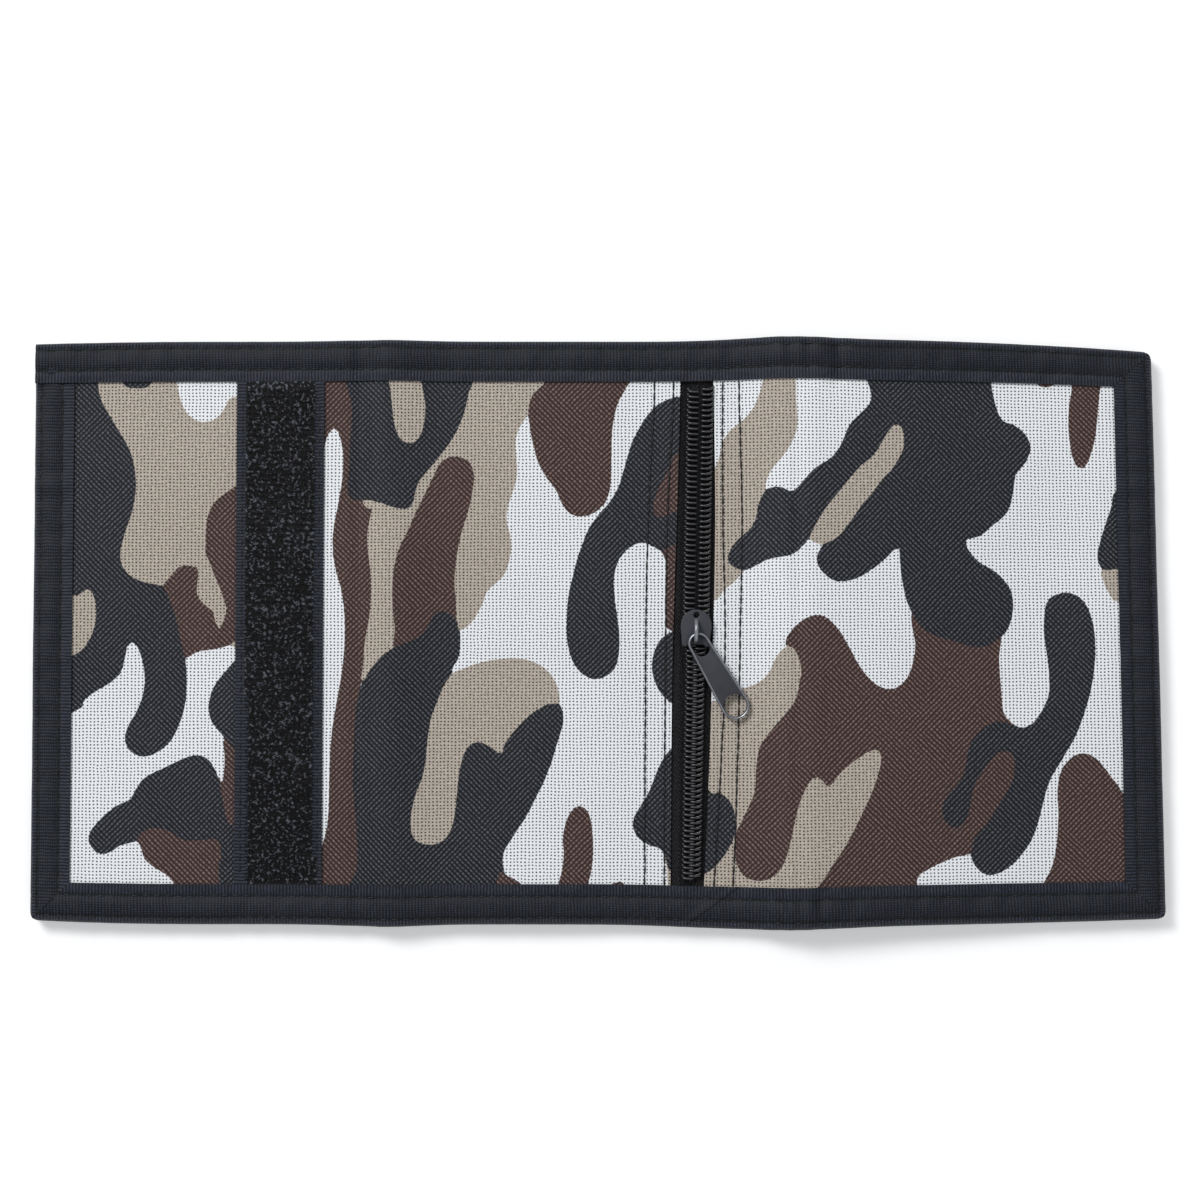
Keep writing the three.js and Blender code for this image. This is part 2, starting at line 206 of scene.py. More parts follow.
def zip_point(across, along, z):
    """A point given across and along the zip, in the wallet's frame."""
    x = ZIP_X + across * ZIP_AXIS.y + along * ZIP_AXIS.x
    return Vector((x, along * ZIP_AXIS.y - across * ZIP_AXIS.x, z))


def zip_cloth_edge(y, side):
    """Where the printed cloth stops beside the zip."""
    if side < 0:
        return ZIP_X + ZIP_LEFT_EDGE + ZIP_SLOPE * y - 0.55 * bell(y, -8, 34)
    return ZIP_X + ZIP_RIGHT_EDGE + ZIP_SLOPE * y - 0.95 * (y / 55) ** 2 + 0.25 * bell(y, 25, 22)


# ---- The camouflage print ---------------------------------------------------------------------

# Painted in this order, each a smooth closed outline round the given points
TAUPE, BROWN, CHARCOAL, GROUND = 0, 1, 2, 3
PRINT = (
    # left panel
    (TAUPE, ((-108.5, 60), (-108, 53), (-107.4, 50.3), (-106, 45), (-104.5, 40), (-103.5, 30), (-105, 23),
        (-107, 15), (-102, 9), (-94, 8), (-80, -2), (-74, -1), (-74, 60))),
    (GROUND, ((-91, 60), (-90.9, 53), (-89.8, 48.8), (-87.7, 46.3), (-85, 45.5), (-82.3, 46.4),
        (-80.4, 48.8), (-79.2, 50.9), (-75, 51.6), (-74, 60))),
    (BROWN, ((-75, 33.2), (-77.5, 32.3), (-80, 30.5), (-82.6, 28.5), (-84.3, 25.3), (-84.8, 21),
        (-84.7, 16.2), (-83.4, 13.5), (-84, 8), (-86, 13.3), (-88.3, 14.4), (-90.5, 14.2), (-92.1, 12.4),
        (-94, 9.6), (-93, 2), (-91, -4), (-89, -5.3), (-86.7, -4.1), (-83.4, -3.6), (-80.7, -3),
        (-78, -1.7), (-74, 0))),
    (TAUPE, ((-86.2, 14.2), (-84.6, 16.4), (-83.4, 13.5), (-82, 10.3), (-80.8, 7), (-80.3, 4.6),
        (-81.1, 2), (-82, 0.7), (-82.7, 2.3), (-83.3, 4.5), (-85, 5.9), (-86.7, 8.2), (-86.5, 11.2))),
    (CHARCOAL, ((-124, 60), (-108.3, 60), (-108.2, 54), (-107.5, 50.4), (-104.4, 45), (-101.5, 40),
        (-100.2, 35.5), (-100, 31), (-100.7, 26.5), (-102.3, 21.7), (-103.3, 17.5), (-103, 14.6),
        (-101.2, 12.3), (-98, 10.8), (-94.2, 9.9), (-92.5, 6.6), (-91.2, 2.6), (-90.4, -1), (-89.4, -6),
        (-89.1, -11), (-89.6, -16.5), (-91.8, -22.4), (-94.5, -25.4), (-98.1, -26.9), (-101, -25.8),
        (-102.2, -23.4), (-101.5, -20.5), (-99.7, -17.4), (-98.3, -13.7), (-97.9, -9.5), (-98.7, -5.1),
        (-100.1, -2.4), (-101.7, -2.3), (-102.4, -5), (-103.4, -8.7), (-105.8, -11), (-108.9, -12.8),
        (-111.2, -14.6), (-113.2, -16.9), (-124, -17))),
    (CHARCOAL, ((-104.5, 60), (-102.6, 53.9), (-99.5, 53), (-96.8, 53.9), (-94.5, 60))),
    (TAUPE, ((-116, 7), (-112.4, 8), (-110.3, 9.4), (-108.9, 7.2), (-108.6, 3.8), (-109.1, 0.6),
        (-110.4, -2.2), (-112.4, -4.4), (-116, -4.8))),
    (BROWN, ((-84, -31), (-81.3, -33), (-80.5, -28), (-80.4, -22), (-74, -22), (-74, -48), (-82, -46))),
    (BROWN, ((-101, -43), (-98.6, -42.4), (-82, -40), (-74, -44), (-74, -60), (-90, -60), (-91.5, -54.7),
        (-93.3, -52.6), (-95.4, -51.3), (-97.9, -49.2), (-98.9, -46.3))),
    (CHARCOAL, ((-110.1, -45.3), (-109.6, -43.2), (-107.3, -40.5), (-104.3, -38), (-101.2, -36.5),
        (-99.9, -34.4), (-98, -31.8), (-94.3, -29.9), (-89.9, -27.8), (-87.2, -26.9), (-84.8, -27.5),
        (-83.1, -29.6), (-82, -32.6), (-81.1, -36.5), (-79.9, -41.5), (-77, -44), (-77, -60),
        (-80.6, -60), (-82, -52), (-81.5, -48.5), (-82.2, -45.1), (-85.6, -45.2), (-89.9, -45.1),
        (-92.6, -43.3), (-95.9, -42.6), (-98.6, -43.3), (-100.2, -45.3), (-103.5, -46.2), (-105.9, -47.8),
        (-108.4, -47.8))),
    (CHARCOAL, ((-74, -4), (-78, -6), (-79.9, -8.1), (-82.3, -10.9), (-83.6, -13.8), (-84, -16.6),
        (-83.4, -19.3), (-82, -21.2), (-80.4, -23), (-78.5, -25.2), (-74, -26))),
    # across the left fold
    (TAUPE, ((-53, 29), (-46, 44), (-27, 60), (-9.5, 60), (-11, 54.6), (-14.2, 50.6), (-15.1, 47.2),
        (-16.9, 44.2), (-17.6, 41), (-17.3, 34), (-18.7, 29.3), (-19.6, 25), (-18.6, 19.8), (-18.9, 15.9),
        (-20.3, 12.3), (-23.7, 9.1), (-25, 5.7), (-27.6, 1.7), (-30.5, 0), (-40, -7), (-50, -11),
        (-53, 0))),
    (BROWN, ((-70, 60), (-52.6, 60), (-52.9, 50), (-53.5, 36), (-50, 27), (-48.4, 28.3), (-48.9, 25.3),
        (-49.7, 20.5), (-49.1, 14.6), (-48.8, 9.5), (-49.1, 4), (-50.2, -2.2), (-50.6, -7.2),
        (-51.5, -13), (-52.4, -19.8), (-52.8, -29.6), (-52.5, -37), (-51.8, -46), (-52, -60), (-70, -60))),
    (GROUND, ((-62, 36), (-59.6, 39.3), (-58.4, 42.8), (-56.8, 44.5), (-55.5, 42.6), (-54.8, 38.5),
        (-55, 33), (-55.8, 28), (-56.8, 22.8), (-57, 18), (-56.3, 13.3), (-55.1, 9), (-54.5, 4),
        (-54.4, -1), (-54.7, -6), (-55.4, -11), (-56.6, -17.5), (-57.5, -25), (-57.8, -34), (-58.1, -41),
        (-58.9, -45), (-60.2, -48), (-64, -50), (-66, -10))),
    (BROWN, ((-33.6, 37), (-31.7, 38), (-29.5, 38), (-27.4, 36.8), (-26.5, 34.2), (-26.8, 30.6),
        (-27.6, 26.7), (-28.8, 23), (-29.8, 18.8), (-30.5, 14.4), (-30.7, 10), (-30.4, 6), (-31, -2),
        (-42.8, -4.5), (-43.6, 1), (-44.1, 6.5), (-44.1, 11), (-43.6, 14.8), (-42.6, 18.4), (-41.2, 21.2),
        (-38.9, 26.4), (-37.1, 30), (-35.2, 34))),
    (CHARCOAL, ((-52.8, 60), (-52.9, 48), (-53.6, 36), (-53.6, 29.4), (-49.1, 28.7), (-46.2, 27.9),
        (-43.5, 27), (-41.1, 26.8), (-39.8, 27.8), (-39.1, 30.8), (-38.2, 33.1), (-36.6, 35), (-34.9, 37),
        (-31.7, 41.2), (-30.1, 44), (-28.8, 47.2), (-27.9, 51), (-27.6, 60))),
    (TAUPE, ((-45.5, 60), (-44.6, 53), (-44.1, 48.5), (-43.8, 45.6), (-42.9, 42.7), (-41.4, 41.2),
        (-39.5, 41.2), (-38, 43), (-37.2, 46.2), (-37.1, 50), (-37.9, 54.5), (-38, 60))),
    # middle panel
    (CHARCOAL, ((-33.6, 4.6), (-31.3, 3.6), (-30, 1), (-29.6, -1.5), (-30, -5.5), (-31.5, -9.5),
        (-28, -20), (-20, -20), (-12.7, -16.9), (-10.4, -15.5), (-8.6, -15.4), (-7.4, -17.1),
        (-7.3, -19.8), (-8.4, -23.6), (-9.7, -28), (-11.4, -32.3), (-13.3, -36.1), (-15.2, -39.9),
        (-17.1, -42.7), (-18.8, -45.4), (-20.1, -47.6), (-20.4, -50.3), (-19.6, -52.9), (-17, -60),
        (-52.2, -60), (-51.9, -51), (-52.1, -42), (-52.8, -33), (-52.5, -21), (-51.8, -14.5),
        (-49.9, -9.6), (-48.3, -7.3), (-45.9, -4.7), (-42.6, -2.8), (-38.8, -1.2), (-36.6, 1),
        (-35.4, 3.5))),
    (TAUPE, ((-31.2, -9.2), (-28.5, -8), (-25.2, -6.8), (-20.9, -6), (-16.5, -5.9), (-12.7, -7),
        (-10, -9.2), (-8.5, -12.2), (-8.1, -15.4), (-10.4, -15.6), (-12.7, -16.8), (-15.4, -19),
        (-17.9, -21.7), (-19.8, -24.3), (-20.6, -26.6), (-22.4, -25.3), (-24.6, -24.1), (-26.6, -24.1),
        (-28.2, -25.5), (-29.3, -28.5), (-29.9, -32), (-30.3, -36.5), (-30.8, -40.5), (-32, -44),
        (-33.6, -45.6), (-36.1, -46.2), (-38.5, -45.6), (-39.8, -44.2), (-40.2, -41.6), (-39.9, -38.3),
        (-38.9, -34.6), (-37.7, -31.6), (-36.9, -27.4), (-36.5, -23), (-35.8, -18.7), (-34.4, -15),
        (-33.1, -11.8))),
    (BROWN, ((-21, -52.5), (-19.6, -53), (-17.6, -53.9), (-15.4, -56), (-15, -60), (-22, -60))),
    (BROWN, ((-10.6, 60), (-10.9, 54.6), (-13.8, 51.4), (-14.5, 48), (-14.1, 44), (-13.3, 40.2),
        (-12.3, 36.8), (-10.5, 33.6), (-8.5, 30.9), (-7.3, 28.2), (-5.6, 26), (-3.2, 25.3), (-0.6, 26),
        (1.6, 27.9), (2.9, 31), (3.2, 36), (3.3, 42.3), (3.7, 46.1), (4.6, 49.6), (6.2, 52.8), (8.2, 56),
        (9, 60))),
    (BROWN, ((-8.4, -60), (-8, -55), (-7.2, -52), (-6.8, -48.1), (-7, -44.6), (-6.2, -41), (-4.9, -38.6),
        (-3.3, -38), (-1.8, -39.3), (-1, -42.6), (-0.7, -47), (-1, -51), (-1.9, -55.5), (-2, -60))),
    (BROWN, ((3, -60), (3.1, -55.6), (4.4, -54.6), (5.9, -54.9), (6.6, -60))),
    (CHARCOAL, ((24, 51.6), (18.4, 51.1), (16.2, 50.6), (13.7, 49.4), (11.5, 47.2), (9.7, 44.5),
        (8, 41.2), (7, 38), (6.1, 34.7), (5, 31.4), (3.2, 28.2), (0.7, 25.4), (-1.2, 22.7), (-2.7, 19.3),
        (-4, 15.5), (-4.9, 11.8), (-5.8, 7.8), (-6.2, 2.6), (-6.2, -0.5), (-5.7, -4), (-4.6, -6.8),
        (-3, -8.8), (-1.1, -9.9), (1.1, -9.9), (3.2, -8.7), (4.4, -6.8), (4.9, -4), (4.9, 0), (4.4, 4),
        (3.9, 8), (3.8, 12), (4.7, 15.5), (6.6, 18), (8.6, 19.3), (10.5, 19.6), (12.4, 18.8), (14, 17.9),
        (16, 17.2), (24, 17))),
    (BROWN, ((24, 40), (17.8, 39), (16.7, 37.9), (15.6, 35.2), (14, 32), (12.8, 29.3), (12.5, 26.8),
        (13.3, 25.2), (15, 25.2), (17.4, 26.2), (24, 27))),
    (BROWN, ((15, 18.2), (15.5, 15), (15.3, 10), (15.3, 4), (16, 0.8), (24, 1), (24, 18.5))),
    (CHARCOAL, ((24, 0), (16.5, -0.2), (15.2, -0.9), (13.6, -2.6), (12.6, -5.3), (12.4, -8), (13, -10.7),
        (14.1, -12.9), (15.5, -14.4), (17, -15.4), (24, -16))),
    # between the zip and the right fold
    (TAUPE, ((38.2, 60), (35.6, 51.6), (34.1, 48.3), (32, 45.9), (29.2, 43.6), (27.7, 41.1), (26.8, 37.6),
        (25.4, 35.4), (19, 34), (19, 6), (25.7, 7), (27.6, 9.2), (29.8, 10.9), (31.6, 13), (34, 16),
        (36, 22), (36.4, 28), (36.8, 32.5), (37.9, 35.3), (39.6, 37.4), (41.7, 40.2), (43.1, 43.3),
        (43.5, 46.2), (43.2, 50), (42.6, 60))),
    (TAUPE, ((41.9, -3), (40.4, -3.9), (38.8, -6.2), (37.6, -9), (35.2, -11.2), (31, -12.8),
        (27.5, -14.1), (25.3, -15.4), (18, -16.5), (18, -60), (54, -60), (66, -30), (63, -22), (52, -20),
        (46, -8), (44, -4))),
    (CHARCOAL, ((18, -24), (16.6, -25.3), (15.3, -26.9), (14, -29.1), (12.9, -31.8), (11.6, -35),
        (9.9, -37.8), (8.7, -39.8), (8.2, -41.6), (8.6, -43.5), (9.9, -45.1), (11.8, -46.2),
        (13.7, -46.8), (14.8, -47.9), (15.5, -49.7), (16.4, -51.9), (20, -55), (23.8, -52.5),
        (25.3, -51.6), (26.6, -50.3), (28, -48.5), (29.5, -45.9), (30.3, -43.2), (30.3, -40.4),
        (29.8, -38), (28.6, -36.2), (26.9, -35), (24.9, -34.8), (22, -30))),
    # right panel
    (BROWN, ((41.2, -2.3), (42.4, 0.2), (44.5, 2.2), (46.6, 3.4), (48.5, 3.6), (50.6, 2.5), (52.8, 0),
        (55, -3.8), (57, -7.4), (59, -10), (61.2, -11.8), (63.6, -12.5), (65.9, -11.8), (67.7, -9.8),
        (68.8, -7), (69.4, -2.5), (69.2, 5), (80, 5), (87.3, 1), (87.4, -6), (87.9, -13), (88.6, -18),
        (92, -22), (92, -30), (86, -42), (83.2, -46.4), (81.4, -47.9), (77.2, -48.9), (72.4, -51.1),
        (69.6, -53.2), (67.4, -60), (47, -60), (50.3, -52), (54.3, -45.9), (58.7, -37.2), (60.6, -32.6),
        (61.7, -28.6), (61.7, -26.4), (60.7, -25.4), (58.3, -26.3), (53.8, -29.6), (51.7, -32.1),
        (50.4, -33.5), (49.2, -32.3), (47.6, -31.3), (46, -32.8), (44, -37.3), (42.9, -42), (41.6, -47.4),
        (40.3, -50.9), (38.3, -53.1), (35.8, -54), (33, -53.5), (31.2, -51.7), (30.3, -48.8),
        (30.3, -45.3), (31.3, -42), (33.4, -37.6), (34.6, -34), (34.8, -29.5), (35.5, -25.2),
        (37.6, -21.8), (41.2, -17.5), (43.2, -14.6), (44, -11.5), (44.5, -8.2), (43.9, -5.4), (43, -3.7))),
    (CHARCOAL, ((28.7, 16), (29.5, 18.4), (31.4, 20.6), (33.4, 22.3), (34.7, 24.6), (35.3, 27.8),
        (36.6, 30.4), (38.3, 31.3), (40.4, 31.2), (42, 30.4), (43.4, 30.9), (46.4, 34.3), (48.6, 36.2),
        (50.3, 37.1), (52.4, 39.2), (53.8, 41.8), (55.2, 45), (58.6, 48.5), (59.9, 51), (60.2, 60),
        (85.5, 60), (85.7, 54), (86.9, 48.4), (88.4, 45.7), (90.6, 44.9), (92.9, 43.2), (94.2, 40.8),
        (94, 38.6), (92.9, 36.5), (91, 34.2), (90.5, 30.6), (89.7, 27.1), (88, 24.8), (85.9, 23.2),
        (83.6, 21.2), (81.5, 20.5), (80.1, 20.1), (80.3, 18.7), (81.4, 16.8), (83.4, 14.9), (86.2, 13.3),
        (88.4, 11.3), (89.9, 9.2), (90.5, 6.2), (90.1, 2.8), (88.9, 0.1), (87, -1.7), (84.8, -3),
        (82, -3.2), (78.8, -2.3), (75, -1.2), (71.9, 0.1), (70.2, 1.6), (68.7, 4.2), (67.4, 7.2),
        (66.5, 11.5), (66, 16), (65.8, 18.3), (64.5, 18), (62.6, 16), (60.4, 14.3), (57.6, 12.4),
        (54.5, 11.3), (51.9, 11.3), (49.6, 12.8), (48.2, 14.7), (48.1, 16.8), (49.2, 18.6), (50.5, 20.5),
        (48.5, 21.5), (46.8, 21.4), (45.2, 19.4), (43, 17.3), (40.1, 16.5), (37.6, 16.1), (35.2, 14.9),
        (33, 13.8), (30.8, 13.8), (29.3, 14.7))),
    (TAUPE, ((65.3, 45.1), (66.5, 43.8), (66.8, 41.6), (66.4, 39.2), (64.2, 35.4), (62, 33.1),
        (59.8, 30.1), (57.6, 27.6), (55.4, 24.4), (52.9, 21.2), (51.2, 19.9), (49.4, 19.2), (47.6, 19.6),
        (46.4, 20.8), (48.4, 24.8), (50.2, 27.5), (52.7, 30.5), (54.9, 33.2), (57.1, 35.8), (59.8, 38),
        (61.5, 40.3), (63, 43), (64.2, 44.6))),
    (CHARCOAL, ((97.6, 3), (98.2, 6.5), (100.1, 8), (102.5, 8.4), (104.8, 7.6), (106.6, 5.5),
        (107.9, 1.8), (108.4, -3), (108.1, -8.2), (107.2, -13.4), (105.5, -19), (103.9, -23),
        (101.8, -26.5), (99.9, -29.7), (98.4, -32.4), (97.3, -36), (96.2, -40.4), (94.7, -44.7),
        (92.6, -47.9), (90.1, -50.6), (87.4, -52.2), (85, -52.5), (83, -51.3), (81.8, -49.2),
        (81.6, -46.6), (82.7, -43.9), (85, -41.3), (87.2, -37.9), (89.3, -34.6), (90.7, -31.6),
        (91, -28.8), (90.3, -26.4), (88.2, -25.8), (86.3, -27.2), (84.2, -29.9), (82.5, -32.2),
        (81.6, -35.2), (81.1, -38.6), (80, -41.2), (78.3, -42.5), (76.5, -41.8), (75.3, -39.9),
        (75.2, -37.6), (76.3, -35.4), (78.2, -33.4), (79.7, -31), (80.4, -28.2), (80.9, -25.2),
        (82.3, -22.4), (84.8, -20.4), (87.4, -19.3), (90, -20.1), (92.8, -20.9), (95.1, -19.8),
        (97.2, -16.9), (98.5, -13.8), (98.7, -10), (98.2, -5), (97.6, -1))),
    (BROWN, ((97, -60), (97.4, -55), (98.6, -52.6), (99.6, -50), (100.3, -46), (100.7, -40),
        (100.5, -34.5), (101, -31), (102, -29), (103.6, -27.3), (105.5, -26.5), (107.5, -26.9),
        (109.4, -28.4), (111.2, -30.6), (113.2, -33.2), (116, -36), (126, -38), (126, -60))),
    (BROWN, ((103.9, 60), (103.6, 53), (103, 48.8), (102.9, 44.5), (103.3, 40.4), (104, 37.4),
        (105.4, 35.6), (106.7, 36.8), (107.7, 39.5), (108.5, 43), (108.9, 47.5), (109.3, 51.5), (110, 60))),
    (BROWN, ((94.5, 60), (95.9, 54.5), (97.3, 53.4), (98.9, 53.6), (100.2, 55), (101, 60))),
    (CHARCOAL, ((126, 32), (114, 31), (112.2, 27), (110.8, 23), (109.7, 19.3), (109.2, 16.6),
        (109.6, 14.8), (110.8, 13.5), (113.2, 13.7), (126, 14))),
    (TAUPE, ((109.9, 14), (110.2, 12), (111, 9.8), (112.2, 7.8), (113.8, 6.8), (126, 6), (126, 13.9),
        (113.4, 13.7), (111, 13.3))),
)
PRINT_REACH = 3.0                 # the print is measured this far from an outline, and no further
BARE_MARGIN = 0.35                # closes gaps of bare ground narrower than this between two inks


def smooth_line(points, closed=True, steps=6):
    """A curve through all the points, as an array of many more."""
    points = np.array(points, float)
    count = len(points)
    spans = count if closed else count - 1
    line = []
    for i in range(spans):
        picks = [i - 1, i, i + 1, i + 2]
        a, b, c, d = (points[k % count if closed else min(max(k, 0), count - 1)] for k in picks)
        for t in np.arange(steps) / steps:
            line.append(0.5 * (2 * b + (c - a) * t + (2 * a - 5 * b + 4 * c - d) * t ** 2
                               + (3 * b - a - 3 * c + d) * t ** 3))
    if not closed:
        line.append(points[-1])
    return np.array(line)


def depth_inside(points, outline):
    """How far each point is inside a closed outline, negative outside it."""
    nearest = np.full(len(points), np.inf)
    inside = np.zeros(len(points), bool)
    for a, b in zip(outline, np.roll(outline, -1, 0)):
        along = b - a
        offset = points - a
        share = np.clip(offset @ along / max(along @ along, 1e-9), 0, 1)
        nearest = np.minimum(nearest, ((offset - share[:, None] * along) ** 2).sum(1))
        if a[1] != b[1]:
            crossed = (a[1] > points[:, 1]) != (b[1] > points[:, 1])
            inside ^= crossed & (offset[:, 0] < offset[:, 1] * along[0] / along[1])
    return np.where(inside, 1, -1) * np.sqrt(nearest)


def print_depths(points):
    """For each point of the cloth, its depth inside the three inks and the bare ground."""
    depths = np.full((len(points), 4), -PRINT_REACH)
    depths[:, GROUND] = PRINT_REACH - BARE_MARGIN
    for ink, corners in PRINT:
        outline = smooth_line(corners)
        near = np.all((points > outline.min(0) - PRINT_REACH) & (points < outline.max(0) + PRINT_REACH), 1)
        depth = np.clip(depth_inside(points[near], outline), -PRINT_REACH, PRINT_REACH)
        old = depths[near]
        for i in (TAUPE, BROWN, CHARCOAL, GROUND):
            margin = BARE_MARGIN if i == GROUND else 0
            if i == ink:
                old[:, i] = np.maximum(old[:, i], depth - margin)
            else:
                old[:, i] = np.minimum(old[:, i], -depth - margin)
        depths[near] = old
    return depths


# ---- What a user may change --------------------------------------------------------------------

def linear(hex_colour):
    """A colour written as sRGB hex, in the linear values that Blender works in."""
    parts = [int(hex_colour[i:i + 2], 16) / 255 for i in (0, 2, 4)]
    return tuple(p / 12.92 if p <= 0.04045 else ((p + 0.055) / 1.055) ** 2.4 for p in parts)


def colour(name, description, hex_colour):
    return FloatVectorProperty(name=name, description=description, subtype="COLOR", size=3, min=0, max=1,
                               default=linear(hex_colour))


class WalletColours(PropertyGroup):
    ground: colour("Print ground", "Pale ground of the printed cloth", "F1F4F7")
    taupe: colour("Print taupe", "Second colour of the print", "AFA599")
    brown: colour("Print brown", "Third colour of the print", "4B3735")
    charcoal: colour("Print charcoal", "Darkest colour of the print", "26272D")
    binding: colour("Binding", "Ribbed tape round the edges", "181B24")
    pocket: colour("Pocket cloth", "Inner pockets and the note divider", "1D1E22")
    lining: colour("Lining", "Thin lining of the coin pocket", "26272B")
    closure: colour("Hook and loop", "Both closure tapes", "0B0B0E")
    zip: colour("Zip", "Zip tape and coil", "0E0E10")
    metal: colour("Slider paint", "Paint of the slider and its pull", "3A3B42")
    thread: colour("Thread", "Sewing thread", "0A0B0F")
    floor: colour("Floor", "Surface under the wallet", "FAFAFA")


def number(name, description, default, low, high, unit="NONE"):
    return FloatProperty(name=name, description=description, default=default, min=low, max=high, unit=unit)


class WalletCloth(PropertyGroup):
    thread_across: number("Threads across", "Spacing of the weave along the wallet, in mm", 0.8, 0.2, 3)
    thread_up: number("Threads up", "Spacing of the weave across the wallet, in mm", 0.72, 0.2, 3)
    mesh_step: number("Mesh step", "Size of the shell's faces, in mm", 1.0, 0.5, 5)
    rib: number("Tape rib", "Spacing of the ribs of the binding tape, in mm", 0.7, 0.3, 2)


class WalletSewing(PropertyGroup):
    pitch: number("Stitch pitch", "From one stitch to the next, in mm", 2.45, 1, 6)
    length: number("Stitch length", "Thread seen in one stitch, in mm", 1.85, 0.5, 5)
    thickness: number("Thread thickness", "Diameter of the thread, in mm", 0.34, 0.1, 1)
    outer_row: number("Outer row", "Outer row's distance from the edge, in mm", 1.5, 0.5, 4)
    inner_row: number("Inner row", "Inner row's distance from the edge, in mm", 6.1, 4, 8)


class WalletClosures(PropertyGroup):
    coil_pitch: number("Coil pitch", "From one turn of the coil to the next, in mm", 1.15, 0.8, 3)
    hook_columns: IntProperty(name="Hook columns", description="Hooks across the tape", default=15, min=5,
                              max=24)
    hook_pitch: number("Hook pitch", "From one row of hooks to the next, in mm", 1.2, 0.8, 3)


class WalletStage(PropertyGroup):
    camera_height: number("Camera height", "Camera above the wallet", 0.75, 0.2, 3, "LENGTH")
    view_width: number("View width", "Width of the picture at the cloth", 0.2609, 0.1, 1, "LENGTH")
    centre_x: number("View centre X", "Middle of the picture", 0.0009, -1, 1, "LENGTH")
    centre_y: number("View centre Y", "Middle of the picture", 0.0070, -1, 1, "LENGTH")


# ---- Mesh helpers ------------------------------------------------------------------------------

SHARP = math.radians(40)


def shade_smooth(bm):
    for face in bm.faces:
        face.smooth = True


def soften(bm):
    """Smooth shading, with the sharp edges kept crisp."""
    shade_smooth(bm)
    for edge in bm.edges:
        edge.smooth = edge.calc_face_angle(0) < SHARP


def make_piece(bm, name, material):
    """Turns a bmesh in millimetres into a named piece in metres."""
    bmesh.ops.scale(bm, vec=(1 / MM,) * 3, verts=bm.verts[:])
    mesh = bpy.data.meshes.new(name)
    bm.to_mesh(mesh)
    bm.free()
    mesh.materials.append(material)
    piece = bpy.data.objects.new(name, mesh)
    bpy.context.scene.collection.objects.link(piece)
    return piece


def strip(ends, sides, z, step):
    """A flat grid with its cloth map. ends(y) gives its left and right end, sides its low and high edge."""
    low, high = sides
    left, right = ends((low + high) / 2)
    bm = bmesh.new()
    bmesh.ops.create_grid(bm, x_segments=max(1, round((right - left) / step)),
                          y_segments=max(1, round((high - low) / step)), size=0.5)
    for vert in bm.verts:
        y = lerp(low, high, vert.co.y + 0.5)
        left, right = ends(y)
        vert.co = (lerp(left, right, vert.co.x + 0.5), y, z)
    map_cloth(bm)
    return bm


def map_cloth(bm):
    """The cloth map of a flat sheet that isn't laid down yet: its own place, in millimetres."""
    cloth_map = bm.loops.layers.uv.new("cloth")
    for face in bm.faces:
        for loop in face.loops:
            loop[cloth_map].uv = loop.vert.co.xy


def lay_down(bm):
    for vert in bm.verts:
        vert.co = settle(vert.co)


def thicken(bm, thickness):
    """Gives a sheet its thickness below the surface that was drawn."""
    bm.normal_update()
    bmesh.ops.solidify(bm, geom=bm.faces[:], thickness=thickness)
    soften(bm)


def sheet_piece(name, ends, sides, z, thickness, material, step=1.5):
    """A plain sheet of cloth, from its top surface down."""
    bm = strip(ends, sides, z, step)
    lay_down(bm)
    thicken(bm, thickness)
    return make_piece(bm, name, material)


def between(left, right):
    """Straight ends for strip()."""
    return lambda y: (left, right)


def sew(bm, line, above=0.0, length=None, thickness=None):
    """Adds the stitches along a line of points, each a low bead of thread."""
    sewing = bpy.context.scene.wallet_sewing
    length, thickness = length or sewing.length, thickness or sewing.thickness
    line = np.array([tuple(point) for point in line])
    walked = np.concatenate([[0], np.cumsum(np.linalg.norm(np.diff(line, axis=0), axis=1))])
    count = int((walked[-1] - length) / sewing.pitch)
    margin = (walked[-1] - count * sewing.pitch - length) / 2

    def at(distance):
        return Vector([np.interp(distance, walked, line[:, k]) for k in range(3)])

    for i in range(count + 1):
        start, end = at(margin + i * sewing.pitch), at(margin + i * sewing.pitch + length)
        along = end - start
        centre = (start + end) / 2 + Vector((0, 0, above))
        turned = along.to_track_quat("Z", "Y").to_matrix().to_4x4()
        size = Matrix.Diagonal((thickness / 2, thickness / 2, along.length / 2, 1))
        bmesh.ops.create_uvsphere(bm, u_segments=6, v_segments=4, radius=1,
                                  matrix=Matrix.Translation(centre) @ turned @ size)


def sewn_piece(name, lines, above=0.0):
    """One piece that holds the stitches of several seams."""
    bm = bmesh.new()
    for line in lines:
        sew(bm, line, above)
    shade_smooth(bm)
    return make_piece(bm, name, finish("bonded polyester thread"))


def bend_over_fold(piece):
    """Bakes a piece's place into its mesh; the piece is not bent over the fold."""
    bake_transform(piece)


def bend_left(piece):
    bend_over_fold(piece)


def bend_right(piece):
    bend_over_fold(piece)


def cut_size(width, length):
    return (width / MM, length / MM)


# ---- Finishes ----------------------------------------------------------------------------------

def feed(tree, node, inputs):
    """Gives a node's inputs, by name or number, a value, a socket or another node's first output."""
    for key, value in inputs.items():
        if isinstance(value, bpy.types.Node):
            value = next(socket for socket in value.outputs if socket.enabled)
        if isinstance(value, bpy.types.NodeSocket):
            tree.links.new(value, node.inputs[key])
        else:
            node.inputs[key].default_value = value


def add(tree, kind, inputs=None, **settings):
    """Adds a shader node with its settings and links."""
    node = tree.nodes.new("ShaderNode" + kind)
    for name, value in settings.items():
        setattr(node, name, value)
    feed(tree, node, inputs or {})
    return node


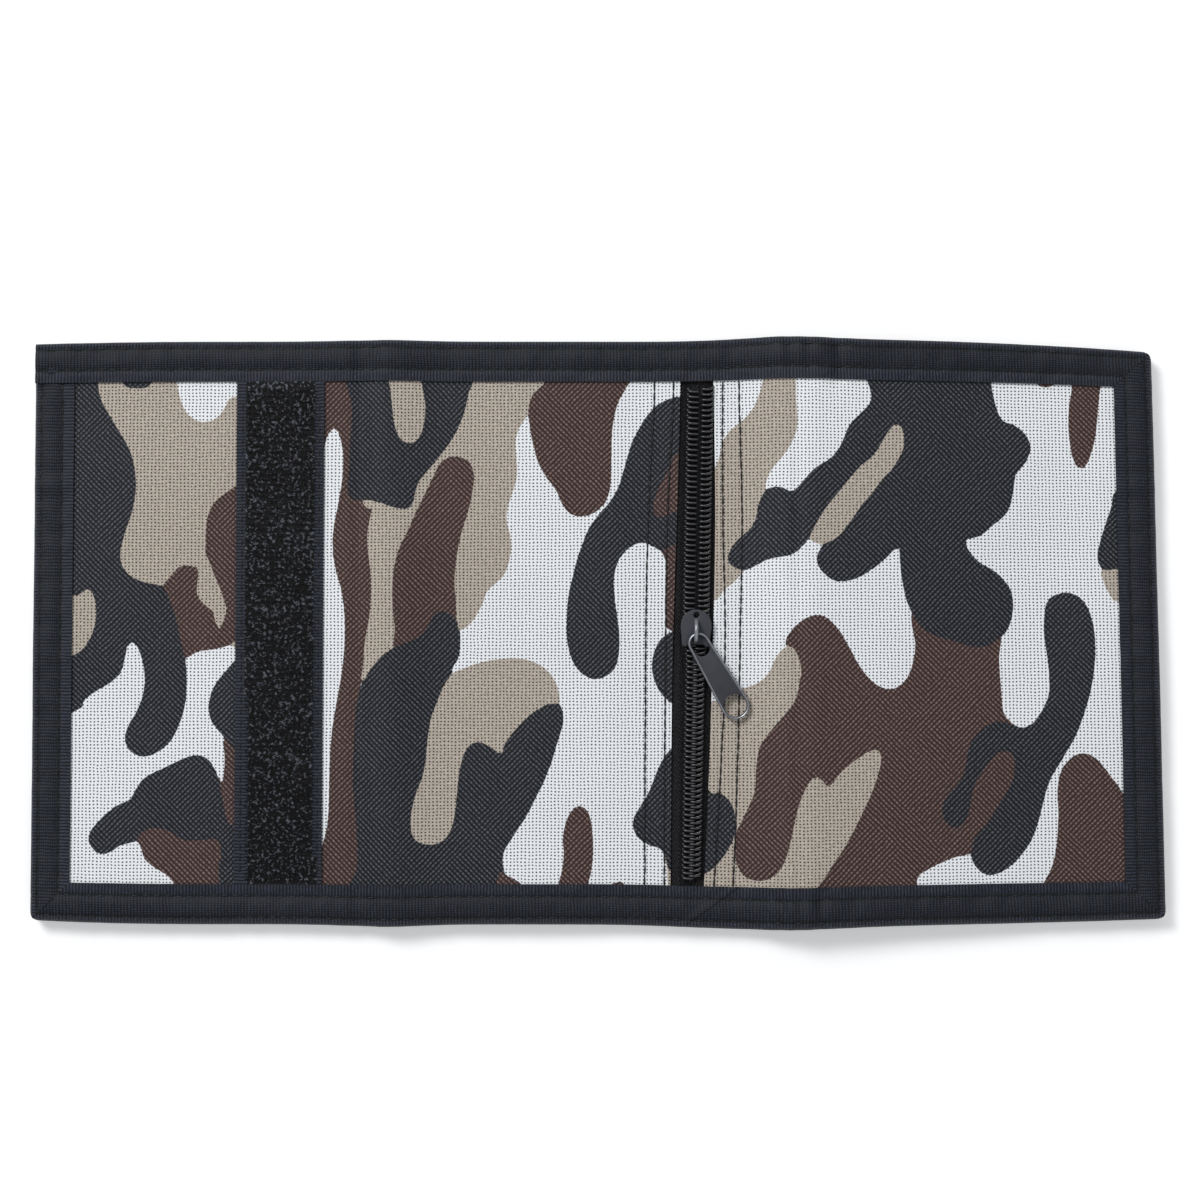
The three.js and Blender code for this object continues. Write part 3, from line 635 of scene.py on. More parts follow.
def threads(tree, across, up):
    """Two angles that follow the threads of a piece's cloth map, with the small wander of real yarn."""
    cloth_map = add(tree, "UVMap", uv_map="cloth")
    wander = add(tree, "TexNoise", {"Vector": cloth_map, "Scale": 0.45, "Detail": 2.0})
    nudge = add(tree, "VectorMath", {0: wander.outputs["Color"], 1: (0.5, 0.5, 0.5)}, operation="SUBTRACT")
    moved = add(tree, "VectorMath", {0: nudge, 1: (0.5, 0.5, 0), 2: cloth_map}, operation="MULTIPLY_ADD")
    full_turn = (2 * math.pi / across, 2 * math.pi / up, 0)
    turns = add(tree, "VectorMath", {0: moved, 1: full_turn}, operation="MULTIPLY")
    parts = add(tree, "SeparateXYZ", {0: turns})
    return cloth_map, parts.outputs["X"], parts.outputs["Y"]


def wave(tree, angle):
    """From 0 to 1 along the cosine of an angle."""
    cosine = add(tree, "Math", {0: angle}, operation="COSINE")
    return add(tree, "Math", {0: cosine, 1: 0.5, 2: 0.5}, operation="MULTIPLY_ADD")


def grain(tree, scale, detail):
    """Unevenness through a piece's own space, with scale in waves per metre."""
    place = add(tree, "TexCoord").outputs["Object"]
    return add(tree, "TexNoise", {"Vector": place, "Scale": scale, "Detail": detail})


def rise(start, end, low=0.0, high=1.0):
    """Inputs of a Map Range node that climbs from low to high between start and end."""
    return {"From Min": start, "From Max": end, "To Min": low, "To Max": high}


def rgba(value, shade=1.0):
    return (value[0] * shade, value[1] * shade, value[2] * shade, 1)


SMOOTH = {"interpolation_type": "SMOOTHSTEP"}
RGBA = {"data_type": "RGBA"}
# A Mix node's inputs by number: 0 is its share, 2 and 3 are two numbers, 6 and 7 are two colours
BEAD_PITCH = 1.17                 # the crowns of the doubled yarns, painted lighter as highlights on the dark print, in mm
INK_BLEED = 0.16                  # half the width of the soft rim of a print colour, in mm
INNER_GROOVE, OUTER_GROOVE = (2.1, 3.1), (6.7, 7.7)   # the seam grooves, painted darker as their shade, in mm from the tape's edge


def yarn_crowns(tree, across, up, cloth, cloth_map, uneven):
    """Slanted rows of yarn crowns, whose lean changes from one patch of cloth to the next. They raise the
    bump, and the dark print paints them lighter as highlights.
    """
    wide = add(tree, "Math", {0: across, 1: cloth.thread_across / BEAD_PITCH}, operation="MULTIPLY")
    high = add(tree, "Math", {0: up, 1: cloth.thread_up / BEAD_PITCH}, operation="MULTIPLY")
    rising = wave(tree, add(tree, "Math", {0: wide, 1: high}, operation="ADD"))
    falling = wave(tree, add(tree, "Math", {0: wide, 1: high}, operation="SUBTRACT"))
    patches = add(tree, "TexNoise", {"Vector": cloth_map, "Scale": 0.07, "Detail": 1.0})
    lean = add(tree, "MapRange", {"Value": patches, **rise(0.44, 0.56)}, **SMOOTH)
    row = add(tree, "Mix", {0: lean, 2: rising, 3: falling})
    bead = add(tree, "Mix", {0: lean, 2: falling, 3: rising})
    bead = add(tree, "Math", {0: bead, 1: 0.55, 2: 0.45}, operation="MULTIPLY_ADD")
    crown = add(tree, "Math", {0: row, 1: bead}, operation="MULTIPLY")
    crown = add(tree, "MapRange", {"Value": crown, **rise(0.22, 0.85)}, **SMOOTH)
    crown_strength = add(tree, "MapRange", {"Value": uneven, **rise(0.25, 0.7, 0.35, 1.0)}, **SMOOTH)
    return add(tree, "Math", {0: crown, 1: crown_strength}, operation="MULTIPLY")


def printed_inks(tree, cloth_map):
    """How much taupe, brown and charcoal ink lies at a point. The ink deepest inside its outline wins."""
    depths = add(tree, "Attribute", attribute_name="print")
    inks = add(tree, "SeparateXYZ", {0: depths.outputs["Vector"]})
    speckle = add(tree, "TexNoise", {"Vector": cloth_map, "Scale": 1.6, "Detail": 2.0})
    ragged = add(tree, "Math", {0: speckle, 1: 0.8, 2: -0.4}, operation="MULTIPLY_ADD")
    deepest = depths.outputs["Alpha"]
    shares = []
    for ink in inks.outputs:
        ahead = add(tree, "Math", {0: ink, 1: deepest}, operation="SUBTRACT")
        rough_edge = add(tree, "Math", {0: ahead, 1: ragged}, operation="ADD")
        shares.append(add(tree, "MapRange", {"Value": rough_edge, **rise(-INK_BLEED, INK_BLEED)}, **SMOOTH))
        deepest = add(tree, "Math", {0: deepest, 1: ink}, operation="MAXIMUM")
    return shares


def printed_oxford(tree, shader):
    """Polyester oxford, printed on one side: coarse yarns of 0.8 mm, so the weave shows as a grid of
    pinholes, painted dark as the shade in them, on the pale print and as slanted rows of yarn crowns, painted
    lighter as their highlights, on the dark print."""
    colours, cloth = bpy.context.scene.wallet_colours, bpy.context.scene.wallet_cloth
    cloth_map, across, up = threads(tree, cloth.thread_across, cloth.thread_up)
    pinhole = add(tree, "Math", {0: wave(tree, across), 1: wave(tree, up)}, operation="MULTIPLY")
    pinhole = add(tree, "MapRange", {"Value": pinhole, **rise(0.36, 0.8)}, **SMOOTH)
    uneven = add(tree, "TexNoise", {"Vector": cloth_map, "Scale": 1.3, "Detail": 3.0})
    crown = yarn_crowns(tree, across, up, cloth, cloth_map, uneven)
    taupe, brown, charcoal = printed_inks(tree, cloth_map)

    pale = add(tree, "Mix", {0: taupe, 6: rgba(colours.ground), 7: rgba(colours.taupe)}, **RGBA)
    lit = add(tree, "MapRange", {"Value": uneven, **rise(0.3, 0.75, 0.0, 0.35)}, **SMOOTH)
    pale = add(tree, "Mix", {0: lit, 6: pale, 7: rgba(linear("FFFFFF"))}, blend_type="OVERLAY", **RGBA)
    # The pinholes between the yarns are painted dark, grey-blue on the ground and brown-grey on the taupe:
    # painted shade in the gaps of the weave.
    hole = add(tree, "Mix", {0: taupe, 6: rgba(linear("4A4E59")), 7: rgba(linear("3F3B38"))}, **RGBA)
    pale = add(tree, "Mix", {0: pinhole, 6: pale, 7: hole}, **RGBA)
    # Painted highlight on the yarn crowns of the dark inks, and painted shade between them: the ink is
    # darkened to a half or less, the crowns mixed towards a lighter tone.
    brown_lit_crowns = add(tree, "Mix", {0: crown, 6: rgba(colours.brown, 0.5),
                                   7: rgba(linear("8E746C"))}, **RGBA)
    charcoal_lit_crowns = add(tree, "Mix", {0: crown, 6: rgba(colours.charcoal, 0.3),
                                      7: rgba(linear("62646F"))}, **RGBA)
    dark = add(tree, "Mix", {0: brown, 6: pale, 7: brown_lit_crowns}, **RGBA)
    full = add(tree, "Mix", {0: charcoal, 6: dark, 7: charcoal_lit_crowns}, **RGBA)

    darkened = add(tree, "Math", {0: brown, 1: charcoal}, operation="MAXIMUM")
    ground_height = add(tree, "Math", {0: 1.0, 1: pinhole}, operation="SUBTRACT")
    height = add(tree, "Mix", {0: darkened, 2: ground_height, 3: crown})
    bump = add(tree, "Bump", {"Height": height, "Distance": 0.12 / MM, "Strength": 0.7})
    rough = add(tree, "MapRange", {"Value": darkened, **rise(0, 1, 0.78, 0.6)})
    feed(tree, shader, {"Base Color": full, "Normal": bump, "Roughness": rough, "Specular IOR Level": 0.25})


def ribbed_tape(tree, shader):
    """Polyester grosgrain: fine ribs run across the tape, and each rib's crown catches the light, which is
    painted as a lighter crown over painted shade between the ribs. Both rows of stitches press a groove,
    painted darker as its shade, and between them the ribs are broken up by the yarns that cross them."""
    colours, cloth = bpy.context.scene.wallet_colours, bpy.context.scene.wallet_cloth
    cloth_map, along, across = threads(tree, cloth.rib, 0.5)
    rib = wave(tree, along)
    yarn = wave(tree, across)
    rib_crown_noise = add(tree, "TexNoise", {"Vector": cloth_map, "Scale": 1.1, "Detail": 4.0, "Roughness": 0.7})
    broken = add(tree, "Math", {0: yarn, 1: 0.75, 2: 0.25}, operation="MULTIPLY_ADD")
    walked = add(tree, "SeparateXYZ", {0: cloth_map}).outputs["Y"]
    past_inner_row = add(tree, "MapRange", {"Value": walked, **rise(*INNER_GROOVE)}, **SMOOTH)
    before_outer_row = add(tree, "MapRange", {"Value": walked, **rise(*OUTER_GROOVE, 1.0, 0.0)}, **SMOOTH)
    body = add(tree, "Math", {0: past_inner_row, 1: before_outer_row}, operation="MULTIPLY")
    groove = add(tree, "Math", {0: body, 1: body}, operation="MULTIPLY")
    groove = add(tree, "Math", {0: body, 1: groove}, operation="SUBTRACT")
    # Darkens the crowns along both rows of stitches: painted shade in the seam grooves, which also lowers the
    # bump there.
    open_rib = add(tree, "Math", {0: groove, 1: -3.4, 2: 1.0}, operation="MULTIPLY_ADD")
    fine = add(tree, "Math", {0: rib, 1: broken}, operation="MULTIPLY")
    crown = add(tree, "Mix", {0: body, 2: rib, 3: fine})
    crown_strength = add(tree, "MapRange", {"Value": rib_crown_noise, **rise(0.3, 0.75, 0.4, 1.0)}, **SMOOTH)
    crown = add(tree, "Math", {0: crown, 1: crown_strength}, operation="MULTIPLY")
    crown = add(tree, "Math", {0: crown, 1: open_rib}, operation="MULTIPLY")
    # Lit and shaded copies of the binding colour: painted highlight on the rib crowns and painted shade
    # between them.
    shade = add(tree, "Mix", {0: crown, 6: rgba(colours.binding, 0.12),
                              7: rgba(colours.binding, 5.0)}, **RGBA)
    bump = add(tree, "Bump", {"Height": crown, "Distance": 0.16 / MM, "Strength": 0.8})
    feed(tree, shader, {"Base Color": shade, "Normal": bump, "Roughness": 0.6, "Specular IOR Level": 0.3})


def pocket_nylon(tree, shader):
    """Black nylon pack cloth, plain woven at 0.5 mm, with the dull shine of its inner coating, and painted
    highlights on its yarn crowns.
    """
    colours = bpy.context.scene.wallet_colours
    cloth_map, across, up = threads(tree, 0.5, 0.5)
    weave = add(tree, "Math", {0: wave(tree, across), 1: wave(tree, up)}, operation="MULTIPLY")
    cloud = add(tree, "TexNoise", {"Vector": cloth_map, "Scale": 0.05, "Detail": 3.0})
    crown_strength = add(tree, "MapRange", {"Value": cloud, **rise(0.3, 0.7, 0.5, 1.0)}, **SMOOTH)
    crown = add(tree, "Math", {0: weave, 1: crown_strength}, operation="MULTIPLY")
    # Painted highlight on the weave's crowns, over a darkened copy of the pocket colour.
    shade = add(tree, "Mix", {0: crown, 6: rgba(colours.pocket, 0.7),
                              7: rgba(colours.pocket, 2.4)}, **RGBA)
    bump = add(tree, "Bump", {"Height": weave, "Distance": 0.08 / MM, "Strength": 0.7})
    feed(tree, shader, {"Base Color": shade, "Normal": bump, "Roughness": 0.55})


def lining_taffeta(tree, shader):
    """Thin polyester lining: a close weave, drawn at 0.4 mm so that it shows, with a soft sheen, partly real
    and partly painted as lighter yarn crowns.
    """
    colours = bpy.context.scene.wallet_colours
    _, across, up = threads(tree, 0.4, 0.4)
    weave = add(tree, "Math", {0: wave(tree, across), 1: wave(tree, up)}, operation="MULTIPLY")
    # Painted highlight on the weave's crowns: lit and shaded copies of the lining colour.
    shade = add(tree, "Mix", {0: weave, 6: rgba(colours.lining, 0.8),
                              7: rgba(colours.lining, 1.9)}, **RGBA)
    bump = add(tree, "Bump", {"Height": weave, "Distance": 0.05 / MM, "Strength": 0.6})
    feed(tree, shader, {"Base Color": shade, "Normal": bump, "Roughness": 0.42, "Sheen Weight": 0.2})


def closure_nylon(tree, shader):
    """Nylon monofilament of the hooks and loops: black, with grey specks painted at random as the glints of
    its bends.
    """
    colours = bpy.context.scene.wallet_colours
    glint_and_bump_noise = grain(tree, 1500.0, 2.0)
    speck = add(tree, "MapRange", {"Value": glint_and_bump_noise, **rise(0.54, 0.68)}, **SMOOTH)
    # Painted glints: random grey specks over a darkened copy of the closure colour.
    shade = add(tree, "Mix", {0: speck, 6: rgba(colours.closure, 0.35),
                              7: rgba(linear("60626B"))}, **RGBA)
    bump = add(tree, "Bump", {"Height": glint_and_bump_noise, "Distance": 0.05 / MM, "Strength": 0.6})
    feed(tree, shader, {"Base Color": shade, "Normal": bump, "Roughness": 0.35, "Specular IOR Level": 0.3})


def clear_vinyl(tree, shader):
    """Soft PVC film: clear with a grey cast, and its faint ripples break up the shine."""
    ripple = grain(tree, 60.0, 2.0)
    bump = add(tree, "Bump", {"Height": ripple, "Distance": 0.4 / MM, "Strength": 0.5})
    feed(tree, shader, {"Base Color": rgba(linear("DDE2E5")), "Normal": bump, "Roughness": 0.16,
                        "Transmission Weight": 0.9, "IOR": 1.53})


def herringbone_tape(tree, shader):
    """Zip tape, woven as a herringbone: its slanted rows are 0.9 mm apart and turn back every 2.6 mm."""
    colours = bpy.context.scene.wallet_colours
    cloth_map = add(tree, "UVMap", uv_map="cloth")
    parts = add(tree, "SeparateXYZ", {0: cloth_map})
    across = add(tree, "Math", {0: parts.outputs["X"], 1: 2.6}, operation="PINGPONG")
    slanted = add(tree, "Math", {0: across, 1: -1.5, 2: parts.outputs["Y"]}, operation="MULTIPLY_ADD")
    rows = wave(tree, add(tree, "Math", {0: slanted, 1: 2 * math.pi / 0.9}, operation="MULTIPLY"))
    row_crown_noise = add(tree, "TexNoise", {"Vector": cloth_map, "Scale": 2.2, "Detail": 3.0})
    crown_strength = add(tree, "MapRange", {"Value": row_crown_noise, **rise(0.35, 0.7)}, **SMOOTH)
    crown = add(tree, "Math", {0: rows, 1: crown_strength}, operation="MULTIPLY")
    # Painted highlight on the crowns of the slanted rows, over a darkened copy of the zip colour.
    shade = add(tree, "Mix", {0: crown, 6: rgba(colours.zip, 0.3), 7: rgba(linear("313136"))}, **RGBA)
    bump = add(tree, "Bump", {"Height": rows, "Distance": 0.15 / MM, "Strength": 0.8})
    feed(tree, shader, {"Base Color": shade, "Normal": bump, "Roughness": 0.6, "Specular IOR Level": 0.2})


def coil_nylon(tree, shader):
    """Drawn nylon filament of the zip's coil: black and smooth, so each turn carries one small highlight."""
    colours = bpy.context.scene.wallet_colours
    scuff = grain(tree, 700.0, 2.0)
    shade = add(tree, "Mix", {0: scuff, 6: rgba(colours.zip, 0.8), 7: rgba(linear("2A2A2F"))}, **RGBA)
    rough = add(tree, "MapRange", {"Value": scuff, **rise(0, 1, 0.26, 0.42)})
    feed(tree, shader, {"Base Color": shade, "Roughness": rough, "Specular IOR Level": 1.0})


def painted_zinc(tree, shader):
    """Die-cast zinc with a thin dark grey paint: satin, with the fine pimples of the casting."""
    colours = bpy.context.scene.wallet_colours
    cloud = grain(tree, 500.0, 4.0)
    pimples = grain(tree, 2600.0, 2.0)
    shade = add(tree, "Mix", {0: cloud, 6: rgba(colours.metal, 0.75),
                              7: rgba(colours.metal, 1.25)}, **RGBA)
    bump = add(tree, "Bump", {"Height": pimples, "Distance": 0.03 / MM, "Strength": 0.5})
    rough = add(tree, "MapRange", {"Value": cloud, **rise(0, 1, 0.52, 0.66)})
    feed(tree, shader, {"Base Color": shade, "Normal": bump, "Roughness": rough, "Specular IOR Level": 0.4})


def rim_highlight_zinc(tree, shader):
    """The same paint on rims and ridges, lighter and brighter: a painted highlight, where handling has also
    polished it thin.
    """
    cloud = grain(tree, 700.0, 3.0)
    shade = add(tree, "Mix", {0: cloud, 6: rgba(linear("6E7178")), 7: rgba(linear("B4B7BD"))}, **RGBA)
    bump = add(tree, "Bump", {"Height": cloud, "Distance": 0.02 / MM, "Strength": 0.4})
    feed(tree, shader, {"Base Color": shade, "Normal": bump, "Roughness": 0.34, "Metallic": 0.55})


def sewing_thread(tree, shader):
    """Bonded polyester thread, three plies: the twist shows as a slight unevenness."""
    colours = bpy.context.scene.wallet_colours
    twist = grain(tree, 2500.0, 1.0)
    shade = add(tree, "Mix", {0: twist, 6: rgba(colours.thread, 0.7),
                              7: rgba(colours.thread, 1.8)}, **RGBA)
    bump = add(tree, "Bump", {"Height": twist, "Distance": 0.05 / MM, "Strength": 0.7})
    feed(tree, shader, {"Base Color": shade, "Normal": bump, "Roughness": 0.5})


def matt_board(tree, shader):
    """Smooth white card under the wallet, matt and almost even. It glows a little, as a lit backdrop does."""
    colours = bpy.context.scene.wallet_colours
    tone = grain(tree, 4.0, 2.0)
    shade = add(tree, "Mix", {0: tone, 6: rgba(colours.floor), 7: rgba(colours.floor, 0.97)}, **RGBA)
    feed(tree, shader, {"Base Color": shade, "Roughness": 0.9, "Emission Color": rgba(colours.floor),
                        "Emission Strength": 0.3})


FINISHES = {
    "printed oxford polyester": printed_oxford,
    "grosgrain tape": ribbed_tape,
    "nylon pack cloth": pocket_nylon,
    "polyester lining": lining_taffeta,
    "hook and loop nylon": closure_nylon,
    "clear soft vinyl": clear_vinyl,
    "herringbone zip tape": herringbone_tape,
    "nylon coil": coil_nylon,
    "painted zinc": painted_zinc,
    "zinc rim highlight": rim_highlight_zinc,
    "bonded polyester thread": sewing_thread,
    "matt white board": matt_board,
}


def finish(name):
    """A material by the name of its finish, made the first time it is asked for."""
    if name not in bpy.data.materials:
        material = bpy.data.materials.new(name)
        material.use_nodes = True
        FINISHES[name](material.node_tree, material.node_tree.nodes["Principled BSDF"])
    return bpy.data.materials[name]


# ---- Tapes folded over an edge -----------------------------------------------------------------

BINDING_TOP = extent("binding_end_left")[1].z
TOP_TAPE_FOOT = extent("binding_top_left")[0].z
TAPE_THICKNESS = 0.4
BINDING_TAPE = 19                 # the binding's whole width, before it is folded
THREAD_CLEAR = 0.02               # the middle of a thread lies this far off the cloth
TURN = 1.1                        # how much of the tape's visible width its rounded edge takes
NEAR_STITCHES = (0.55, 0.6)       # how far the outer and the inner row draw the tape down round them
CUT_END_LIFT = 0.45               # where the top tape lies over the end tape
MITRE_GAP = 0.03                  # half the gap between two tapes that meet in a mitre
SPLICE = {"at": 18.0, "lean": 1.4, "overlap": 0.6, "height": 0.22}   # the bottom tape's slanted joint
CLEAR_OF_FOOT = 0.5               # a tape's points are moved up only this far above its lower half

# From a place along an edge, a distance in from it and a height to a point, and if that turns faces over
EDGES = {
    "top": (lambda s, d, z: Vector((s, HALF_WIDTH - d, z)), False),
    "bottom": (lambda s, d, z: Vector((s, d - HALF_WIDTH, z)), True),
    "left": (lambda s, d, z: Vector((d - HALF_LENGTH, s, z)), False),
    "right": (lambda s, d, z: Vector((HALF_LENGTH - d, s, z)), True),
}


def tape_relief(d):
    """The outer half of a sewn tape: pressed in at both rows of stitches and crowned between them."""
    sewing = bpy.context.scene.wallet_sewing
    rows = bell(d, sewing.outer_row, NEAR_STITCHES[0]) + bell(d, sewing.inner_row, NEAR_STITCHES[1])
    return 0.25 * bell(d, (sewing.outer_row + sewing.inner_row) / 2, 1.6) - 0.24 * rows


def pucker(s, d):
    """Small unevenness that the stitches draw into the outer half of a binding."""
    return 0.3 * noise.noise(Vector((s * 0.3, d * 0.22, 7.0))) * ease((BINDING_WIDTH - d) / 1.5)


def folded_profile(seen, top, foot, turn, relief_of=lambda d: 0.0):
    """A tape folded over an edge, as (distance in from the edge, height, distance across the tape)."""
    middle, rise = (top + foot) / 2, (top - foot) / 2
    upper = [(d, top + relief_of(d)) for d in np.linspace(seen, turn, max(3, int((seen - turn) / 0.45)))]
    rounded = [(turn * (1 - math.sin(a)), middle + rise * math.cos(a))
               for a in np.linspace(0, math.pi, 11)[1:-1]]
    lower = [(d, foot) for d in np.linspace(turn, seen, 5)]
    points = upper + rounded + lower
    walked = [0.0]
    for a, b in zip(points, points[1:]):
        walked.append(walked[-1] + math.dist(a, b))
    return [(d, z, w) for (d, z), w in zip(points, walked)]


def folded_tape(name, edge, start, end, profile, step=0.8, thickness=TAPE_THICKNESS,
                extra=lambda s, d: 0.0):
    """A tape folded over an edge. start(d) and end(d) say where it stops, so its ends may be mitred."""
    place, turned = edge
    bm = bmesh.new()
    cloth_map = bm.loops.layers.uv.new("cloth")
    rows = len(profile) - 1
    length = end(0) - start(0)
    bmesh.ops.create_grid(bm, x_segments=max(2, round(length / step)), y_segments=rows, size=0.5)
    for vert in bm.verts:
        vert.co.z = vert.co.x + 0.5
    for face in bm.faces:
        for loop in face.loops:
            d, _, walked = profile[round((loop.vert.co.y + 0.5) * rows)]
            loop[cloth_map].uv = (lerp(start(d), end(d), loop.vert.co.z), walked)
    for vert in bm.verts:
        row = round((vert.co.y + 0.5) * rows)
        d, z, _ = profile[row]
        s = lerp(start(d), end(d), vert.co.z)
        if z > profile[-1][1] + CLEAR_OF_FOOT:
            z += extra(s, d)
        vert.co = place(s, d, z)
    if turned:
        bmesh.ops.reverse_faces(bm, faces=bm.faces[:])
    lay_down(bm)
    thicken(bm, thickness)
    return make_piece(bm, name, finish("grosgrain tape"))


def over_end_tape(s, d):
    """The top tape climbs over the end tape at the left corner."""
    return CUT_END_LIFT * ease((-INNER_X + 1.0 - s) / 1.4)


def splice_line(d):
    """Where the slanted joint of the bottom tape lies."""
    return SPLICE["at"] + SPLICE["lean"] * d


def spliced(s, d):
    """The end of the lower tape's left half lies over its right half."""
    return SPLICE["height"] * ease((s - splice_line(d) + 1.6) / 1.2)


def always(value):
    return lambda d: value


# Each binding: its edge, where it starts and ends, what it climbs over, its fold and the nodes it replaces
BINDINGS = {
    "binding_top_west": (
        "top", always(-HALF_LENGTH + 0.2), always(HALVES_MEET), over_end_tape, bend_left,
        ("binding_top_left", "binding_top_centre")),
    "binding_top_east": (
        "top", always(HALVES_MEET), lambda d: HALF_LENGTH - d - MITRE_GAP, None, bend_right,
        ("binding_top_right",)),
    "binding_bottom_west": (
        "bottom", lambda d: d - HALF_LENGTH + MITRE_GAP, lambda d: splice_line(d) + SPLICE["overlap"],
        spliced, bend_left, ("binding_bottom_left", "binding_bottom_centre")),
    "binding_bottom_east": (
        "bottom", splice_line, lambda d: HALF_LENGTH - d - MITRE_GAP, None, bend_right,
        ("binding_bottom_right",)),
    "binding_end_west": (
        "left", lambda d: d - HALF_WIDTH + MITRE_GAP, always(HALF_WIDTH - 1.6), None, None,
        ("binding_end_left",)),
    "binding_end_east": (
        "right", lambda d: d - HALF_WIDTH + MITRE_GAP, lambda d: HALF_WIDTH - d - MITRE_GAP, None, None,
        ("binding_end_right",)),
}


# ---- Fields of hooks and loops, and round rods -------------------------------------------------

def rod(bm, path, radius, sides=6, closed=False, caps=True):
    """A round rod along a path of points, from circles bridged one to the next."""
    path = [Vector(point) for point in path]
    rings = []
    for i, point in enumerate(path):
        before = path[i - 1] if closed or i else point
        after = path[(i + 1) % len(path)] if closed or i < len(path) - 1 else point
        turned = (after - before).to_track_quat("Z", "Y").to_matrix().to_4x4()
        ring = bmesh.ops.create_circle(bm, segments=sides, radius=radius,
                                       matrix=Matrix.Translation(point) @ turned)
        rings.append({edge for vert in ring["verts"] for edge in vert.link_edges})
    for a, b in zip(rings, rings[1:] + rings[:1] if closed else rings[1:]):
        bmesh.ops.bridge_loops(bm, edges=list(a | b))
    if caps and not closed:
        for ring in (rings[0], rings[-1]):
            bmesh.ops.edgeloop_fill(bm, edges=list(ring))


def repeat(bm, unit, count, offset):
    """Repeats the first unit vertices, with their faces, until there are count of them in a row."""
    made = 1
    while made < count:
        take = min(made, count - made)
        bm.verts.ensure_lookup_table()
        verts = [bm.verts[i] for i in range(take * unit)]
        faces = {face for vert in verts for face in vert.link_faces}
        edges = {edge for vert in verts for edge in vert.link_edges}
        copied = bmesh.ops.duplicate(bm, geom=verts + list(edges) + list(faces))["geom"]
        bmesh.ops.translate(bm, verts=[g for g in copied if isinstance(g, bmesh.types.BMVert)],
                            vec=Vector(offset) * made)
        made += take
    bm.verts.ensure_lookup_table()


def tape_field(name, path, radius, columns, rows, corner, pitch, wobble):
    """Rows of one small bent filament on a closure tape, each turned and moved a little."""
    bm = bmesh.new()
    rod(bm, path, radius, sides=4)
    bmesh.ops.recalc_face_normals(bm, faces=bm.faces[:])
    unit = len(bm.verts)
    repeat(bm, unit, columns, (pitch[0], 0, 0))
    repeat(bm, unit * columns, rows, (0, pitch[1], 0))
    for number in range(columns * rows):
        seed = Vector((number * 0.37, number * 1.13, 5.0))
        turn = Matrix.Rotation(noise.noise(seed) * wobble, 3, "Z")
        across, along = number % columns * pitch[0], number // columns * pitch[1]
        shift = noise.noise_vector(seed) * 0.25
        for i in range(number * unit, (number + 1) * unit):
            vert = bm.verts[i]
            local = turn @ (vert.co - Vector((across, along, 0)))
            x, y = corner[0] + across + shift.x, corner[1] + along + shift.y
            vert.co = settle(local + Vector((x, y, corner[2])))
    shade_smooth(bm)
    return make_piece(bm, name, finish("hook and loop nylon"))


# ---- Measures of the zip, its slider and its pull ----------------------------------------------

# The rows of stitches beside the zip, each through points of the wallet
ZIP_SEAMS = (
    ((12.7, 62), (12.6, 50), (11.7, 33), (11.2, 20), (10.9, 5), (10.8, -10), (10.7, -35), (10.6, -62)),
    ((16.9, 62), (16.8, 50), (15.9, 33), (15.4, 20), (15.2, 5), (15.1, -10), (14.9, -35), (14.9, -62)),
    ((27.7, 62), (27.6, 48), (27.6, 33), (27.7, 20), (28.1, 3), (27.9, -13), (27.2, -28), (26.3, -43),
     (25.2, -62)),
    ((31, 62), (31.3, 50), (31.7, 33), (31.8, 20), (31.4, 0), (31, -18), (30.6, -33), (30.1, -46),
     (29.3, -62)),
)
ZIP_SEAM_THREAD = 0.46

# Across the zip: a turn's outer end, its head and the depth of its bend. Upwards: its top and its foot
COIL = {"outer": 2.85, "head": 0.75, "bend": 0.42, "top": 4.62, "foot": 3.98, "radius": 0.27, "turns": 94}
COIL_START = -53.6
COIL_SLANT = 0.05
CHAIN_SHIFT = 0.8                 # how far each row moves in where the chain is closed
CHAIN_OPENS = (-6.5, 1.0)         # the rows part between these places along the zip

ZIP_TAPE_INNER, ZIP_TAPE_OUTER = 0.45, 12.3
ZIP_TAPE_END = 61.2
SLIDER_HALF = 3.35
SLIDER_NOSE = 1.6                 # centre of the round front, along the zip
SLIDER_PLATES = ((2.65, 3.15), (5.05, 5.85))   # heights of the lower and the upper plate
PULL_AXIS = -joint_value("pull_flip", "axis")
PULL_DROOP = math.radians(3.6)
PULL_HEAD, PULL_HALF = -1.85, 2.35     # centre of the round head, along the pull, and its radius
PULL_END, PULL_END_HALF = -17.5, 3.1   # the same of the far end
PULL_EYE, PULL_EYE_HALF = (-1.85, -3.15), 1.75   # centres of the eye's round ends, and their radius
PULL_HOLE = 2.5
PULL_BEAD = {"inset": 0.28, "height": 0.32, "radius": 0.2}
PULL_SHIFT = -0.45                # the pull has slid this far along the bail's crossbar


def arc(centre, radius, start, end, steps):
    """Points of a circular arc, its angles in degrees."""
    return [(centre[0] + radius * math.cos(math.radians(a)), centre[1] + radius * math.sin(math.radians(a)))
            for a in np.linspace(start, end, steps)]


